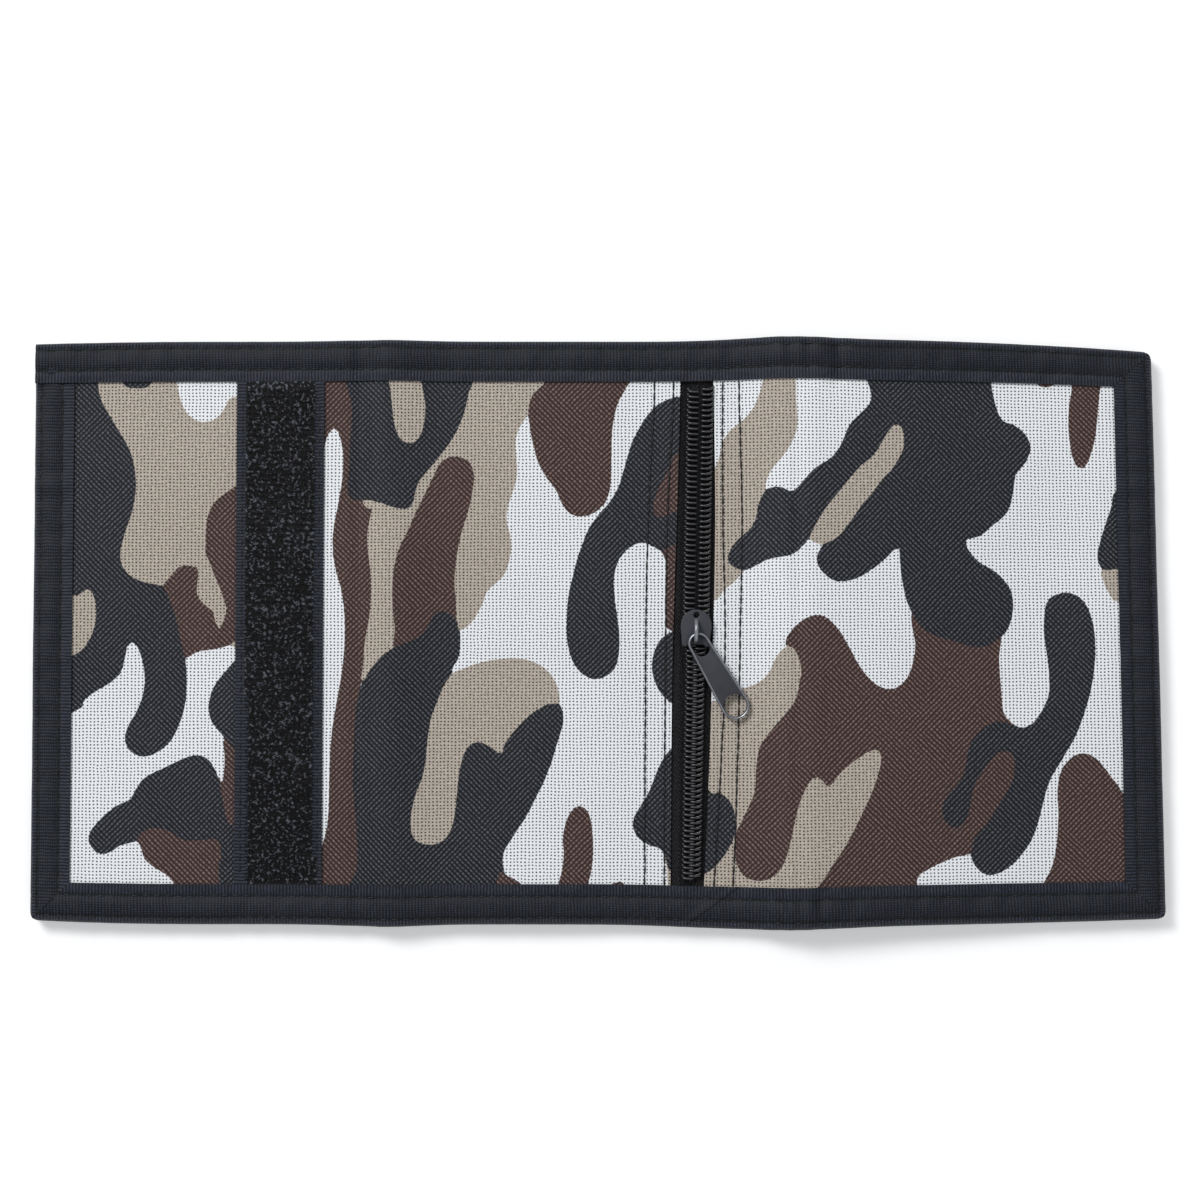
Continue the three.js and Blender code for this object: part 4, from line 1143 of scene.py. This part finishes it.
def plate(bm, outlines, low, high, bevel=0.0, segments=2):
    """A flat plate from its outline and the outlines of its holes, with rounded rims."""
    edges = []
    for outline in outlines:
        verts = [bm.verts.new((x, y, low)) for x, y in outline]
        edges += [bm.edges.new((a, b)) for a, b in zip(verts, verts[1:] + verts[:1])]
    flat = [g for g in bmesh.ops.triangle_fill(bm, edges=edges, use_beauty=True)["geom"]
            if isinstance(g, bmesh.types.BMFace)]
    made = bmesh.ops.extrude_face_region(bm, geom=flat, use_keep_orig=True)["geom"]
    upper = [g for g in made if isinstance(g, bmesh.types.BMVert)]
    bmesh.ops.translate(bm, verts=upper, vec=(0, 0, high - low))
    if bevel:
        wanted = set(upper)
        rims = [edge for vert in upper for edge in vert.link_edges
                if edge.verts[0] in wanted and edge.verts[1] in wanted
                and abs(edge.calc_face_angle(0)) > 1.2]
        bmesh.ops.bevel(bm, geom=list(set(rims)), offset=bevel, offset_type="OFFSET", segments=segments,
                        profile=0.5, affect="EDGES", material=-1, clamp_overlap=True)


def give_rim_highlight(bm, painted):
    """Gives the second material, the painted rim highlight, to every face that was made after the painted
    ones.
    """
    bmesh.ops.recalc_face_normals(bm, faces=bm.faces[:])
    for face in bm.faces:
        face.material_index = int(face not in painted)


# ---- Operators ---------------------------------------------------------------------------------

FLOOR_HALF, FLOOR_DROP = 1600, 0.2   # the floor lies this far below the wallet, clear of its stitches
WORLD_COLOUR, WORLD_STRENGTH = (0.93, 0.96, 1.0, 1), 0.31
LIGHTS = (                        # name, place in metres, size in metres, power in watts
    ("key light", (-0.8, 0.9, 1.3), 0.6, 20),
    ("fill light", (0.9, -0.4, 1.4), 1.2, 3),
    ("back light", (0.1, 1.3, 0.8), 0.6, 2),
)


class WALLET_OT_stage(Operator):
    """Adds the floor, the studio light and the camera"""
    bl_idname = "wallet.stage"
    bl_label = "Stage"

    def execute(self, context):
        stage = context.scene.wallet_stage
        bm = bmesh.new()
        bmesh.ops.create_grid(bm, x_segments=8, y_segments=8, size=FLOOR_HALF)
        bmesh.ops.translate(bm, verts=bm.verts[:], vec=(0, 0, -FLOOR_DROP))
        make_piece(bm, "floor", finish("matt white board"))

        world = bpy.data.worlds.new("studio")
        world.use_nodes = True
        feed(world.node_tree, world.node_tree.nodes["Background"],
             {"Color": WORLD_COLOUR, "Strength": WORLD_STRENGTH})
        context.scene.world = world
        for name, place, size, power in LIGHTS:
            light = bpy.data.lights.new(name, "AREA")
            light.energy = power
            light.size = size
            lamp = bpy.data.objects.new(name, light)
            lamp.location = place
            lamp.rotation_euler = (-Vector(place)).to_track_quat("-Z", "Y").to_euler()
            context.scene.collection.objects.link(lamp)

        camera = bpy.data.cameras.new("camera")
        camera.lens = camera.sensor_width * stage.camera_height / stage.view_width
        camera.clip_start = 0.01
        holder = bpy.data.objects.new("camera", camera)
        holder.location = (stage.centre_x, stage.centre_y, stage.camera_height + CLOTH_TOP / MM)
        context.scene.collection.objects.link(holder)
        context.scene.camera = holder
        context.scene.view_settings.view_transform = "Standard"
        return {"FINISHED"}


SHELLS = (                        # half, ends, fold, CAD nodes
    ("west", lambda y: (CLOTH_LOW.x, zip_cloth_edge(y, -1)), bend_left, ("shell_left", "shell_centre")),
    ("east", lambda y: (zip_cloth_edge(y, 1), CLOTH_HIGH.x), bend_right, ("shell_zip_side", "shell_right")),
)


class WALLET_OT_shell(Operator):
    """Adds the printed outer cloth, one piece on either side of the zip"""
    bl_idname = "wallet.shell"
    bl_label = "Printed cloth"

    def execute(self, context):
        step = context.scene.wallet_cloth.mesh_step
        for half, ends, bend, nodes in SHELLS:
            bm = strip(ends, (CLOTH_LOW.y, CLOTH_HIGH.y), CLOTH_TOP, step)
            lay_down(bm)
            thicken(bm, CLOTH_TOP - extent("shell_left")[0].z)
            points = np.array([tuple(vert.co)[:2] for vert in bm.verts])
            depths = print_depths(points)
            layer = bm.verts.layers.float_color.new("print")
            for vert, depth in zip(bm.verts, depths):
                vert[layer] = depth
            piece = make_piece(bm, f"shell_{half}", finish("printed oxford polyester"))
            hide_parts(*nodes)
            bend(piece)
        return {"FINISHED"}


def layer_halves(name, finish_name):
    """A full-length inner layer, in two halves that meet on the middle panel."""
    nodes = (f"{name}_left", f"{name}_centre", f"{name}_right")
    left_low, left_high = extent(nodes[0])
    right_high = extent(nodes[2])[1]
    sides = (left_low.y, left_high.y)
    for half, ends, bend, given in (("west", (left_low.x, HALVES_MEET), bend_left, nodes[:2]),
                                    ("east", (HALVES_MEET, right_high.x), bend_right, nodes[2:])):
        piece = sheet_piece(f"{name}_{half}", between(*ends), sides, left_high.z, left_high.z - left_low.z,
                            finish(finish_name))
        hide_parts(*given)
        bend(piece)


# A pocket's edging: width of its tape, how much of that its rounded edge takes, how far it reaches behind
# the wall, how far it stands off the wall, its row of stitches and its thickness
EDGING = {"tape": 10, "turn": 0.45, "behind": 2.6, "clear": 0.1, "row": 4.2, "thickness": 0.25}


def edging(name, ends, wall_corner, node, bend, nodes):
    """A narrow tape folded over the mouth of a pocket, with its row of stitches."""
    low, high = extent(node)
    edge_y, wall_top = wall_corner.y, wall_corner.z
    place = (lambda s, d, z: Vector((s, edge_y - d, z)), False)
    profile = folded_profile(high.y - low.y, wall_top + EDGING["clear"], low.z, EDGING["turn"])
    profile = [(d, z, w) for d, z, w in profile if z < wall_top - EDGING["clear"] or d < EDGING["behind"]]
    start = profile[0][2]
    profile = [(d, z, w - start) for d, z, w in profile]
    tape = folded_tape(name, place, always(ends[0]), always(ends[1]), profile, step=1.5,
                       thickness=EDGING["thickness"])
    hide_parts(*nodes)
    line = [settle((s, edge_y - EDGING["row"], low.z)) for s in np.arange(ends[0] + 1, ends[1] - 1, 3)]
    seam = sewn_piece(f"{name}_stitches", [line], above=-0.02)
    for piece in (tape, seam):
        bend(piece)


class WALLET_OT_coin_lining(Operator):
    """Adds the lining behind the zip, which is the coin pocket's inner wall"""
    bl_idname = "wallet.coin_lining"
    bl_label = "Coin lining"

    def execute(self, context):
        layer_halves("coin_lining", "polyester lining")
        return {"FINISHED"}


class WALLET_OT_note_divider(Operator):
    """Adds the inner cloth that forms the note compartment, and the tape on its mouth"""
    bl_idname = "wallet.note_divider"
    bl_label = "Note divider"

    def execute(self, context):
        low, high = extent("note_divider_left")
        layer_halves("note_divider", "nylon pack cloth")
        edging("divider_edging_west", (low.x, HALVES_MEET), high, "divider_edging_left", bend_left,
               ("divider_edging_left", "divider_edging_centre"))
        edging("divider_edging_east", (HALVES_MEET, CLOTH_HIGH.x), high, "divider_edging_left", bend_right,
               ("divider_edging_right",))
        return {"FINISHED"}


def pocket(kind, level, bend):
    """A patch pocket: its cloth and the tape on its mouth."""
    name, edging_node = f"{kind}_pocket_{level}", f"{kind}_pocket_edging_{level}"
    low, high = extent(name)
    piece = sheet_piece(name, between(low.x, high.x), (low.y, high.y), high.z, high.z - low.z,
                        finish("nylon pack cloth"))
    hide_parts(name)
    bend(piece)
    edging(f"{kind}_edging_{level}", (low.x, high.x), high, edging_node, bend, (edging_node,))


class WALLET_OT_card_pockets(Operator):
    """Adds the three stepped card pockets inside the middle panel"""
    bl_idname = "wallet.card_pockets"
    bl_label = "Card pockets"

    def execute(self, context):
        for level in ("rear", "middle", "front"):
            pocket("card", level, bend_left)
        return {"FINISHED"}


class WALLET_OT_slip_pockets(Operator):
    """Adds the two slip pockets inside the right panel"""
    bl_idname = "wallet.slip_pockets"
    bl_label = "Slip pockets"

    def execute(self, context):
        for level in ("rear", "front"):
            pocket("slip", level, bend_right)
        return {"FINISHED"}


def rounded_box(low, high, radius, steps=7):
    """The outline of a rectangle with round corners, and as many points on its sides."""
    left, right = low[0] + radius, high[0] - radius
    bottom, top = low[1] + radius, high[1] - radius
    points = []
    for i, centre in enumerate(((right, top), (left, top), (left, bottom), (right, bottom))):
        points += arc(centre, radius, i * 90, (i + 1) * 90, steps)
    filled = []
    for i, a in enumerate(points):
        b = points[(i + 1) % len(points)]
        extra = 18 if math.dist(a, b) > 8 else 1
        filled += [(lerp(a[0], b[0], k / extra), lerp(a[1], b[1], k / extra)) for k in range(extra)]
    return filled


WINDOW = {"border": 6.0, "corner": 4.0, "row": 1.5}   # the frame round the ID window, and its stitches


class WALLET_OT_id_window(Operator):
    """Adds the framed clear window inside the left panel"""
    bl_idname = "wallet.id_window"
    bl_label = "ID window"

    def execute(self, context):
        low, high = extent("id_window_frame")
        inset = Vector((WINDOW["border"], WINDOW["border"], 0))
        inner_low, inner_high = low + inset, high - inset
        bm = bmesh.new()
        rings = []
        for outline in (rounded_box(low, high, 0.5), rounded_box(inner_low, inner_high, WINDOW["corner"])):
            verts = [bm.verts.new((x, y, high.z)) for x, y in outline]
            rings += [bm.edges.new((a, b)) for a, b in zip(verts, verts[1:] + verts[:1])]
        bmesh.ops.bridge_loops(bm, edges=rings)
        bmesh.ops.subdivide_edges(bm, edges=[edge for edge in bm.edges if edge not in rings], cuts=2)
        bmesh.ops.recalc_face_normals(bm, faces=bm.faces[:])
        if sum(face.normal.z for face in bm.faces) < 0:
            bmesh.ops.reverse_faces(bm, faces=bm.faces[:])
        map_cloth(bm)
        lay_down(bm)
        thicken(bm, high.z - low.z)
        rim = make_piece(bm, "id_window_border", finish("nylon pack cloth"))
        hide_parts("id_window_frame")
        bend_left(rim)
        film_low, film_high = extent("id_window")
        film = sheet_piece("id_window_film", between(film_low.x, film_high.x), (film_low.y, film_high.y),
                           film_high.z, film_high.z - film_low.z, finish("clear soft vinyl"),
                           step=3)
        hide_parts("id_window")
        bend_left(film)
        off = Vector((WINDOW["row"], WINDOW["row"], 0))
        seam = [settle((x, y, low.z)) for x, y in rounded_box(inner_low - off, inner_high + off, 5)]
        stitches = sewn_piece("id_window_stitches", [seam], above=-0.03)
        bend_left(stitches)
        return {"FINISHED"}


class WALLET_OT_bindings(Operator):
    """Adds the ribbed tape folded over every edge, and its two rows of stitches"""
    bl_idname = "wallet.bindings"
    bl_label = "Edge binding"

    def execute(self, context):
        sewing = context.scene.wallet_sewing
        rows = (sewing.outer_row, sewing.inner_row)
        for name, (side, start, end, extra, bend, nodes) in BINDINGS.items():
            foot = TOP_TAPE_FOOT if side == "top" else 0.0
            profile = folded_profile(BINDING_WIDTH, BINDING_TOP, foot, TURN, relief_of=tape_relief)

            def lies(s, d, over=extra):
                return pucker(s, d) + (over(s, d) if over else 0.0)

            tape = folded_tape(name, EDGES[side], start, end, profile, extra=lies)
            place = EDGES[side][0]
            lines = []
            for d in rows:
                stations = np.arange(start(d) + 0.8, end(d) - 0.5, 1.5)
                wander = [d + 0.35 * noise.noise(Vector((s * 0.12, d, 1.0))) for s in stations]
                row_top = BINDING_TOP + tape_relief(d)
                lines.append([settle(place(s, w, row_top + lies(s, d) + THREAD_CLEAR))
                              for s, w in zip(stations, wander)])
                lines.append([settle(place(s, d, foot - THREAD_CLEAR)) for s in stations])
            seam = sewn_piece(f"{name}_stitches", lines)
            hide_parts(*nodes)
            for piece in (tape, seam):
                if bend:
                    bend(piece)
                else:
                    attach(piece, "left_panel" if side == "left" else "right_panel")
            cut_size(BINDING_TAPE, end(0) - start(0))
        return {"FINISHED"}


SELVEDGES = (2.4, 1.8)            # ribbed rims of the closure tapes
CLOSURE_BASE = 0.45               # thickness of the woven base that the hooks and loops stand on
UNDER_BINDING = 0.35              # how much further than its node a base reaches under the bindings
LOOP_PITCH = (1.05, 1.3)
HOOK_WOBBLE, LOOP_WOBBLE = 1.2, 5.0   # how far the filaments are turned out of line


def closure_base(name, node, top):
    """The woven base of a hook or loop tape, with its selvedges, from its CAD node's box."""
    low, high = extent(node)
    bm = strip(between(low.x, high.x), (low.y - UNDER_BINDING, high.y + UNDER_BINDING), top, 1.0)
    cloth_map = bm.loops.layers.uv["cloth"]
    for face in bm.faces:
        for loop in face.loops:
            loop[cloth_map].uv = loop[cloth_map].uv.yx
    lay_down(bm)
    thicken(bm, CLOSURE_BASE)
    for face in bm.faces:
        middle = face.calc_center_median().x
        face.material_index = int(low.x + SELVEDGES[0] < middle < high.x - SELVEDGES[1])
    piece = make_piece(bm, name, finish("grosgrain tape"))
    piece.data.materials.append(finish("hook and loop nylon"))
    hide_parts(node)
    return piece


class WALLET_OT_hook_tape(Operator):
    """Adds the hook tape that is sewn across the left panel"""
    bl_idname = "wallet.hook_tape"
    bl_label = "Hook tape"

    def execute(self, context):
        closures = context.scene.wallet_closures
        low, high = extent("hook_tape")
        base_top = low.z + CLOSURE_BASE
        base = closure_base("hook_tape_base", "hook_tape", base_top)
        left, right = low.x + SELVEDGES[0], high.x - SELVEDGES[1]
        pitch = ((right - left - 0.6) / (closures.hook_columns - 1), closures.hook_pitch)
        rows = int((high.y - low.y - 1.0) / pitch[1])
        height = high.z - base_top
        path = [(-0.28, 0, -0.1), (-0.3, 0, height * 0.55), (-0.12, 0, height * 0.86),
                (0.14, 0, height * 0.84), (0.3, 0, height * 0.5)]
        hooks = tape_field("hook_tape_hooks", path, 0.13, closures.hook_columns, rows,
                           (left + 0.3, low.y + 0.8, base_top), pitch, HOOK_WOBBLE)
        lines = [[settle((x, y, base_top + 0.03)) for y in np.arange(low.y + 1, high.y - 1, 2)]
                 for x in (low.x + 1.3, high.x - 1.0)]
        seam = sewn_piece("hook_tape_stitches", lines)
        for piece in (base, hooks, seam):
            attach(piece, "left_panel")
        return {"FINISHED"}


class WALLET_OT_loop_tape(Operator):
    """Adds the loop tape that is sewn inside the right panel"""
    bl_idname = "wallet.loop_tape"
    bl_label = "Loop tape"

    def execute(self, context):
        low, high = extent("loop_tape")
        base_low = high.z - CLOSURE_BASE
        base = closure_base("loop_tape_base", "loop_tape", high.z)
        pitch = LOOP_PITCH
        columns = int((high.x - low.x - 3.0) / pitch[0])
        rows = int((high.y - low.y - 1.6) / pitch[1])
        depth = low.z - base_low
        path = [(-0.42, 0, 0.1), (-0.5, 0.1, depth * 0.5), (-0.1, 0.2, depth * 0.88), (0.4, 0.1, depth * 0.6),
                (0.45, 0, 0.1)]
        pile = tape_field("loop_tape_pile", path, 0.1, columns, rows, (low.x + 2.2, low.y + 1.2, base_low),
                          pitch, LOOP_WOBBLE)
        lines = [[settle((x, y, base_low - 0.03)) for y in np.arange(low.y + 1, high.y - 1, 2)]
                 for x in (low.x + 0.9, high.x - 0.9)]
        seam = sewn_piece("loop_tape_stitches", lines)
        for piece in (base, pile, seam):
            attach(piece, "right_panel")
        return {"FINISHED"}


class WALLET_OT_zip(Operator):
    """Adds the zip's woven tapes, its two rows of coil and the seams that hold it"""
    bl_idname = "wallet.zip"
    bl_label = "Zip"

    def execute(self, context):
        pitch = context.scene.wallet_closures.coil_pitch
        tape_low, tape_high = extent("zip_tape_left")
        row_end = extent("zip_row_left")[1].y
        tape_limit = RIGHT_BEND[0] - 0.15
        for name, side, node in (("zip_tape_west", -1, "zip_tape_left"),
                                 ("zip_tape_east", 1, "zip_tape_right")):
            def ends(y, side=side):
                middle = ZIP_X + ZIP_SLOPE * y
                if side < 0:
                    return middle - ZIP_TAPE_OUTER, middle - ZIP_TAPE_INNER
                return middle + ZIP_TAPE_INNER, min(middle + ZIP_TAPE_OUTER, tape_limit)

            bm = strip(ends, (-ZIP_TAPE_END, ZIP_TAPE_END), tape_high.z, 0.8)
            lay_down(bm)
            thicken(bm, tape_high.z - tape_low.z)
            tape = make_piece(bm, name, finish("herringbone zip tape"))
            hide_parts(node)
            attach(tape, "middle_panel")
        outer, top, foot = COIL["outer"], COIL["top"], COIL["foot"]
        middle_z, half_height = (top + foot) / 2, (top - foot) / 2
        turn = [(outer - 0.1, 0, top - 0.2), (outer - 0.5, 0, top), (outer - 1.15, -0.1, top + 0.06)]
        turn += [(COIL["head"] - COIL["bend"] * math.sin(a), 0, middle_z + half_height * math.cos(a))
                 for a in np.linspace(0, math.pi, 5)]
        turn += [(outer - 0.5, pitch * 0.12, foot), (outer, pitch * 0.55, middle_z)]
        for name, side, node in (("zip_coil_west", -1, "zip_row_left"),
                                 ("zip_coil_east", 1, "zip_row_right")):
            bm = bmesh.new()
            rod(bm, turn, COIL["radius"])
            bmesh.ops.recalc_face_normals(bm, faces=bm.faces[:])
            repeat(bm, len(bm.verts), COIL["turns"] - 1, (0, pitch, 0))
            offset = COIL_START + (pitch / 2 if side > 0 else 0)
            for vert in bm.verts:
                x, y, z = vert.co
                y += offset + COIL_SLANT * x
                x -= CHAIN_SHIFT * (1 - ease((y - CHAIN_OPENS[0]) / (CHAIN_OPENS[1] - CHAIN_OPENS[0])))
                vert.co = zip_point(side * x, min(y, row_end), z)
            if side < 0:
                bmesh.ops.reverse_faces(bm, faces=bm.faces[:])
            shade_smooth(bm)
            coil = make_piece(bm, name, finish("nylon coil"))
            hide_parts(node)
            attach(coil, "middle_panel")
        bm = bmesh.new()
        for points in ZIP_SEAMS:
            curve = smooth_line(points, closed=False, steps=12)
            line = [settle((x + 0.12 * noise.noise(Vector((x, y * 0.35, 2))), y, CLOTH_TOP + THREAD_CLEAR))
                    for x, y in curve if abs(y) < INNER_Y + 1.5]
            sew(bm, line, above=0.04, length=context.scene.wallet_sewing.pitch + 0.25,
                thickness=ZIP_SEAM_THREAD)
        shade_smooth(bm)
        seam = make_piece(bm, "zip_seams", finish("bonded polyester thread"))
        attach(seam, "middle_panel")
        return {"FINISHED"}


class WALLET_OT_slider(Operator):
    """Adds the zip's slider: two plates, side walls, the post between them and the bail"""
    bl_idname = "wallet.slider"
    bl_label = "Slider"

    def execute(self, context):
        nose = arc((0, SLIDER_NOSE), SLIDER_HALF, 0, 180, 25)
        tail = [(SLIDER_HALF, 0.8), (3.1, -1.2), (3.05, -2.7), (2.75, -3.15), (2.1, -3.15), (1.7, -2.7)]
        body = nose + [(-x, y) for x, y in tail] + tail[::-1]
        eyelet = arc((0, 3.72), 0.62, 0, 330, 12)
        bm = bmesh.new()
        plate(bm, [body, eyelet], *SLIDER_PLATES[1], bevel=0.32, segments=4)
        plate(bm, [body], *SLIDER_PLATES[0], bevel=0.15)
        for side in (-1, 1):
            corners = ((2.55, -2.9), (3.0, -2.9), (3.28, 0.8), (3.1, 2.6), (2.55, 2.2))
            wall = [(side * x, y) for x, y in corners]
            plate(bm, [wall], 3.7, 5.4)
        plate(bm, [[(-0.25, 2), (0.25, 2), (0.25, 3.0), (-0.25, 3.0)]], 2.9, 5.2)
        painted = set(bm.faces)
        bail = [(0, 2.7, 5.5), (0, 2.35, 6.6), (0, 1.9, 7.3), (0, 1.2, 7.75), (0, 0.3, 7.84), (0, -1.1, 7.84),
                (0, -1.65, 7.7), (0, -1.9, 7.2), (0, -1.9, 6.5), (0, -1.9, 5.5)]
        rod(bm, bail, 0.42, sides=10, caps=False)
        # The bail gets the painted highlight of its lit ridge.
        give_rim_highlight(bm, painted)
        for vert in bm.verts:
            vert.co = zip_point(*vert.co)
        soften(bm)
        piece = make_piece(bm, "slider_body", finish("painted zinc"))
        piece.data.materials.append(finish("zinc rim highlight"))
        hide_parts("zip_slider")
        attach(piece, "slider")
        return {"FINISHED"}


class WALLET_OT_pull(Operator):
    """Adds the pull tab, with its eye, its round hole and the raised bead along its rim"""
    bl_idname = "wallet.pull"
    bl_label = "Pull tab"

    @staticmethod
    def rim(inset):
        """The pull's outline, or the same shape this far inside it."""
        lean = math.degrees(math.asin((PULL_END_HALF - PULL_HALF) / abs(PULL_END - PULL_HEAD)))
        return (arc((0, PULL_HEAD), PULL_HALF - inset, lean, 180 - lean, 19)
                + arc((0, PULL_END), PULL_END_HALF - inset, 180 - lean, 360 + lean, 27))

    def execute(self, context):
        eye = arc((0, PULL_EYE[0]), PULL_EYE_HALF, 0, 180, 15)
        eye += arc((0, PULL_EYE[1]), PULL_EYE_HALF, 180, 360, 15)
        hole = arc((0, PULL_END), PULL_HOLE, 0, 348, 30)
        bm = bmesh.new()
        plate(bm, [self.rim(0), eye, hole], -0.4, 0.3, bevel=0.12)
        painted = set(bm.faces)
        bead = [(x, y, PULL_BEAD["height"]) for x, y in self.rim(PULL_BEAD["inset"])]
        rod(bm, bead, PULL_BEAD["radius"], sides=8, closed=True)
        # The bead gets the painted highlight of its lit rim.
        give_rim_highlight(bm, painted)
        across = PULL_AXIS.normalized()
        along = Matrix.Rotation(PULL_DROOP, 3, across) @ Vector((0, 0, 1)).cross(across)
        outwards = across.cross(along)
        for vert in bm.verts:
            x, y, z = vert.co
            vert.co = PULL_PIVOT + across * (x + PULL_SHIFT) + along * y + outwards * z
        soften(bm)
        piece = make_piece(bm, "pull_tab", finish("painted zinc"))
        piece.data.materials.append(finish("zinc rim highlight"))
        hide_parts("zip_pull")
        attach(piece, "pull")
        return {"FINISHED"}


OPERATORS = (
    WALLET_OT_stage, WALLET_OT_shell, WALLET_OT_coin_lining, WALLET_OT_note_divider, WALLET_OT_card_pockets,
    WALLET_OT_slip_pockets, WALLET_OT_id_window, WALLET_OT_bindings, WALLET_OT_hook_tape, WALLET_OT_loop_tape,
    WALLET_OT_zip, WALLET_OT_slider, WALLET_OT_pull,
)
SETTINGS = {
    "wallet_colours": WalletColours, "wallet_cloth": WalletCloth, "wallet_sewing": WalletSewing,
    "wallet_closures": WalletClosures, "wallet_stage": WalletStage,
}


class WALLET_PT_parts(Panel):
    """Lists the wallet's parts and what can be changed in them"""
    bl_idname = "WALLET_PT_parts"
    bl_label = "Trifold wallet"
    bl_space_type = "VIEW_3D"
    bl_region_type = "UI"
    bl_category = "Wallet"

    def draw(self, context):
        layout = self.layout
        for name in SETTINGS:
            settings = getattr(context.scene, name)
            box = layout.box()
            for key in settings.__annotations__:
                box.prop(settings, key)
        for operator in OPERATORS:
            layout.operator(operator.bl_idname)


CLASSES = (*SETTINGS.values(), *OPERATORS, WALLET_PT_parts)


def register():
    for cls in CLASSES:
        bpy.utils.register_class(cls)
    for name, cls in SETTINGS.items():
        setattr(bpy.types.Scene, name, PointerProperty(type=cls))


def unregister():
    for name in SETTINGS:
        delattr(bpy.types.Scene, name)
    for cls in reversed(CLASSES):
        bpy.utils.unregister_class(cls)


def main():
    register()
    for operator in OPERATORS:
        group, name = operator.bl_idname.split(".")
        getattr(getattr(bpy.ops, group), name)()


if __name__ == "__main__":
    main()
